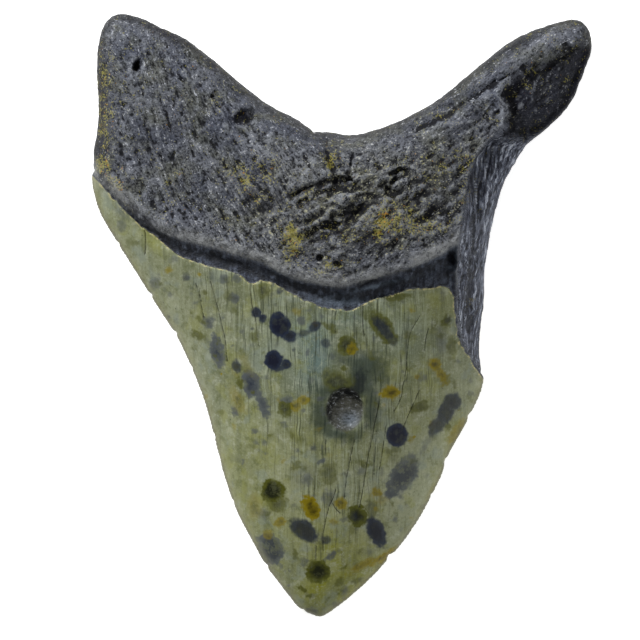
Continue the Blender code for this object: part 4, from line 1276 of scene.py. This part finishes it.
# %% Colour the bourlette and the flank
neck, flank = paint.number("neck"), paint.number("flank")
neck_mottle = paint.noise(where, 1.1, 4, 0.7) * 0.6 + paint.noise(stretched, 0.6, 2, 0.6) * 0.4
neck_colour = paint.layers(
    paint.mix(paint.step(neck_mottle, 0.42, 0.60), shade(24, 28, 39), shade(64, 71, 85)),
    (paint.step(neck_mottle, 0.57, 0.66) * 0.6, 108, 115, 126),
    # painted highlights
    (light * 0.9, 92, 104, 118),
    # painted shade in the hollows
    (paint.step(hollow_mask, 0.05, 0.25) * 0.7, 13, 15, 20),
    # dark patches, partly painted shade
    (dark * 0.8, 18, 20, 26),
)
flank_colour = paint.layers(
    paint.mix(paint.step(streaks, 0.40, 0.56), shade(24, 26, 38), shade(94, 100, 115)),
    (paint.step(streaks, 0.56, 0.62) * 0.85, 178, 184, 196),
    # painted shade in the hollows
    (paint.step(hollow_mask, 0.0, 0.2) * 0.8, 14, 15, 22),
    # dark patches, partly painted shade
    (dark * 0.8, 14, 15, 20),
    # painted highlights
    (light * 0.8, 124, 130, 142),
    (dark_grains * 0.4, 20, 22, 30),
    (paint.step(dust_grit + dust * 0.13, 0.60, 0.70) * 0.5, 120, 112, 60),
)
root = paint.mix(neck * 0.92, root, neck_colour)
root = paint.mix(flank * 0.9, root, flank_colour)
print("bourlette and flank:", len(paint.tree.nodes), "nodes")

# %% [markdown]
# ## Where enamel meets root
# The broken rim of the enamel is chalky, a cream line with a few ochre crumbs. The same ragged distance
# that raised the step cuts the colour.

# %% Join the colours
past = paint.number("past_enamel")
on_crown = paint.step(past, 0.04, 0.14)
chips = paint.step(past, 0.62, 0.2) * paint.step(paint.noise(where, 0.9, 3, 0.7), 0.46, 0.58)
enamel = paint.layers(enamel, (chips * 0.85, 176, 168, 122))
colour = paint.mix(on_crown, root, enamel)
paint.fill(paint.shader, {"Base Color": colour})

# %% [markdown]
# ## Gloss and fine bumps
# Worn enamel has a soft shine, dentine almost none. Bumps smaller than the mesh's triangles come from the
# same noises that speckle the root and rib the enamel.

# %% Set gloss and bumps
enamel_rough = paint.step(fine, 0.2, 0.8) * 0.14 + 0.34
root_rough = paint.step(grit, 0.3, 0.7) * 0.2 + 0.52
paint.fill(paint.shader, {"Roughness": on_crown * enamel_rough + (1 - on_crown) * root_rough})
paint.fill(paint.shader, {"Specular IOR Level": 0.12})
bumps = (1 - on_crown) * (grains * 0.6 + grit * 0.2 + flank * streaks * 0.35)
bumps = bumps + on_crown * (ribs_mask * 0.04 + fine * 0.02 - paint.number("crack") * 0.05)
bumps = bumps + on_crown * (pit_painted_shade + pit_floor) * glassy * 0.2
normal = paint.node("Bump", {}, {"Height": bumps, "Distance": 1 * MM, "Strength": 1.0})
paint.fill(paint.shader, {"Normal": normal})
skin.data.materials.append(paint.material)
print("material:", len(paint.tree.nodes), "nodes")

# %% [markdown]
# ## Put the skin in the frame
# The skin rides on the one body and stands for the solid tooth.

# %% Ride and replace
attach(skin, "root")
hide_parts("tooth")

# %% [markdown]
# ## Floor and light
# A plain white light table that glows a little, and soft studio light: a bright key low from the upper
# left, which brings out the grain, a wide fill from the right and a pale sky.

# %% Light the tooth
FLOOR_SIDE = 6.0  # in metres
FLOOR_GLOW = 0.65


def add_floor():
    """A wide pale floor just under the tooth."""
    bpy.ops.mesh.primitive_plane_add(size=FLOOR_SIDE)
    floor = bpy.context.object
    floor.name = "floor"
    plain = Paint("floor")
    plain.fill(plain.shader, {"Base Color": (0.93, 0.93, 0.93, 1.0), "Roughness": 0.9})
    plain.fill(plain.shader, {"Emission Color": (1.0, 1.0, 1.0, 1.0), "Emission Strength": FLOOR_GLOW})
    floor.data.materials.append(plain.material)


def add_light(name, place_m, watts, size):
    """A square soft light that faces the tooth."""
    light = bpy.data.objects.new(name, bpy.data.lights.new(name, "AREA"))
    light.data.energy = watts
    light.data.size = size
    light.location = place_m
    light.rotation_euler = Vector(place_m).to_track_quat("Z", "Y").to_euler()
    bpy.context.scene.collection.objects.link(light)


def add_sky(strength):
    """An even pale light from everywhere."""
    world = bpy.data.worlds.new("sky")
    world.use_nodes = True
    background = world.node_tree.nodes["Background"]
    background.inputs["Color"].default_value = (1.0, 1.0, 1.0, 1.0)
    background.inputs["Strength"].default_value = strength
    bpy.context.scene.world = world


# Lamps are (name, place in metres, watts, side in metres).
LAMPS = (
    ("key", (-0.45, 0.52, 0.38), 7.2, 0.10),
    ("fill", (0.62, -0.20, 0.42), 2.9, 0.9),
)
SKY_STRENGTH = 0.30

add_floor()
for lamp in LAMPS:
    add_light(*lamp)
add_sky(SKY_STRENGTH)
bpy.context.scene.view_settings.view_transform = "Standard"
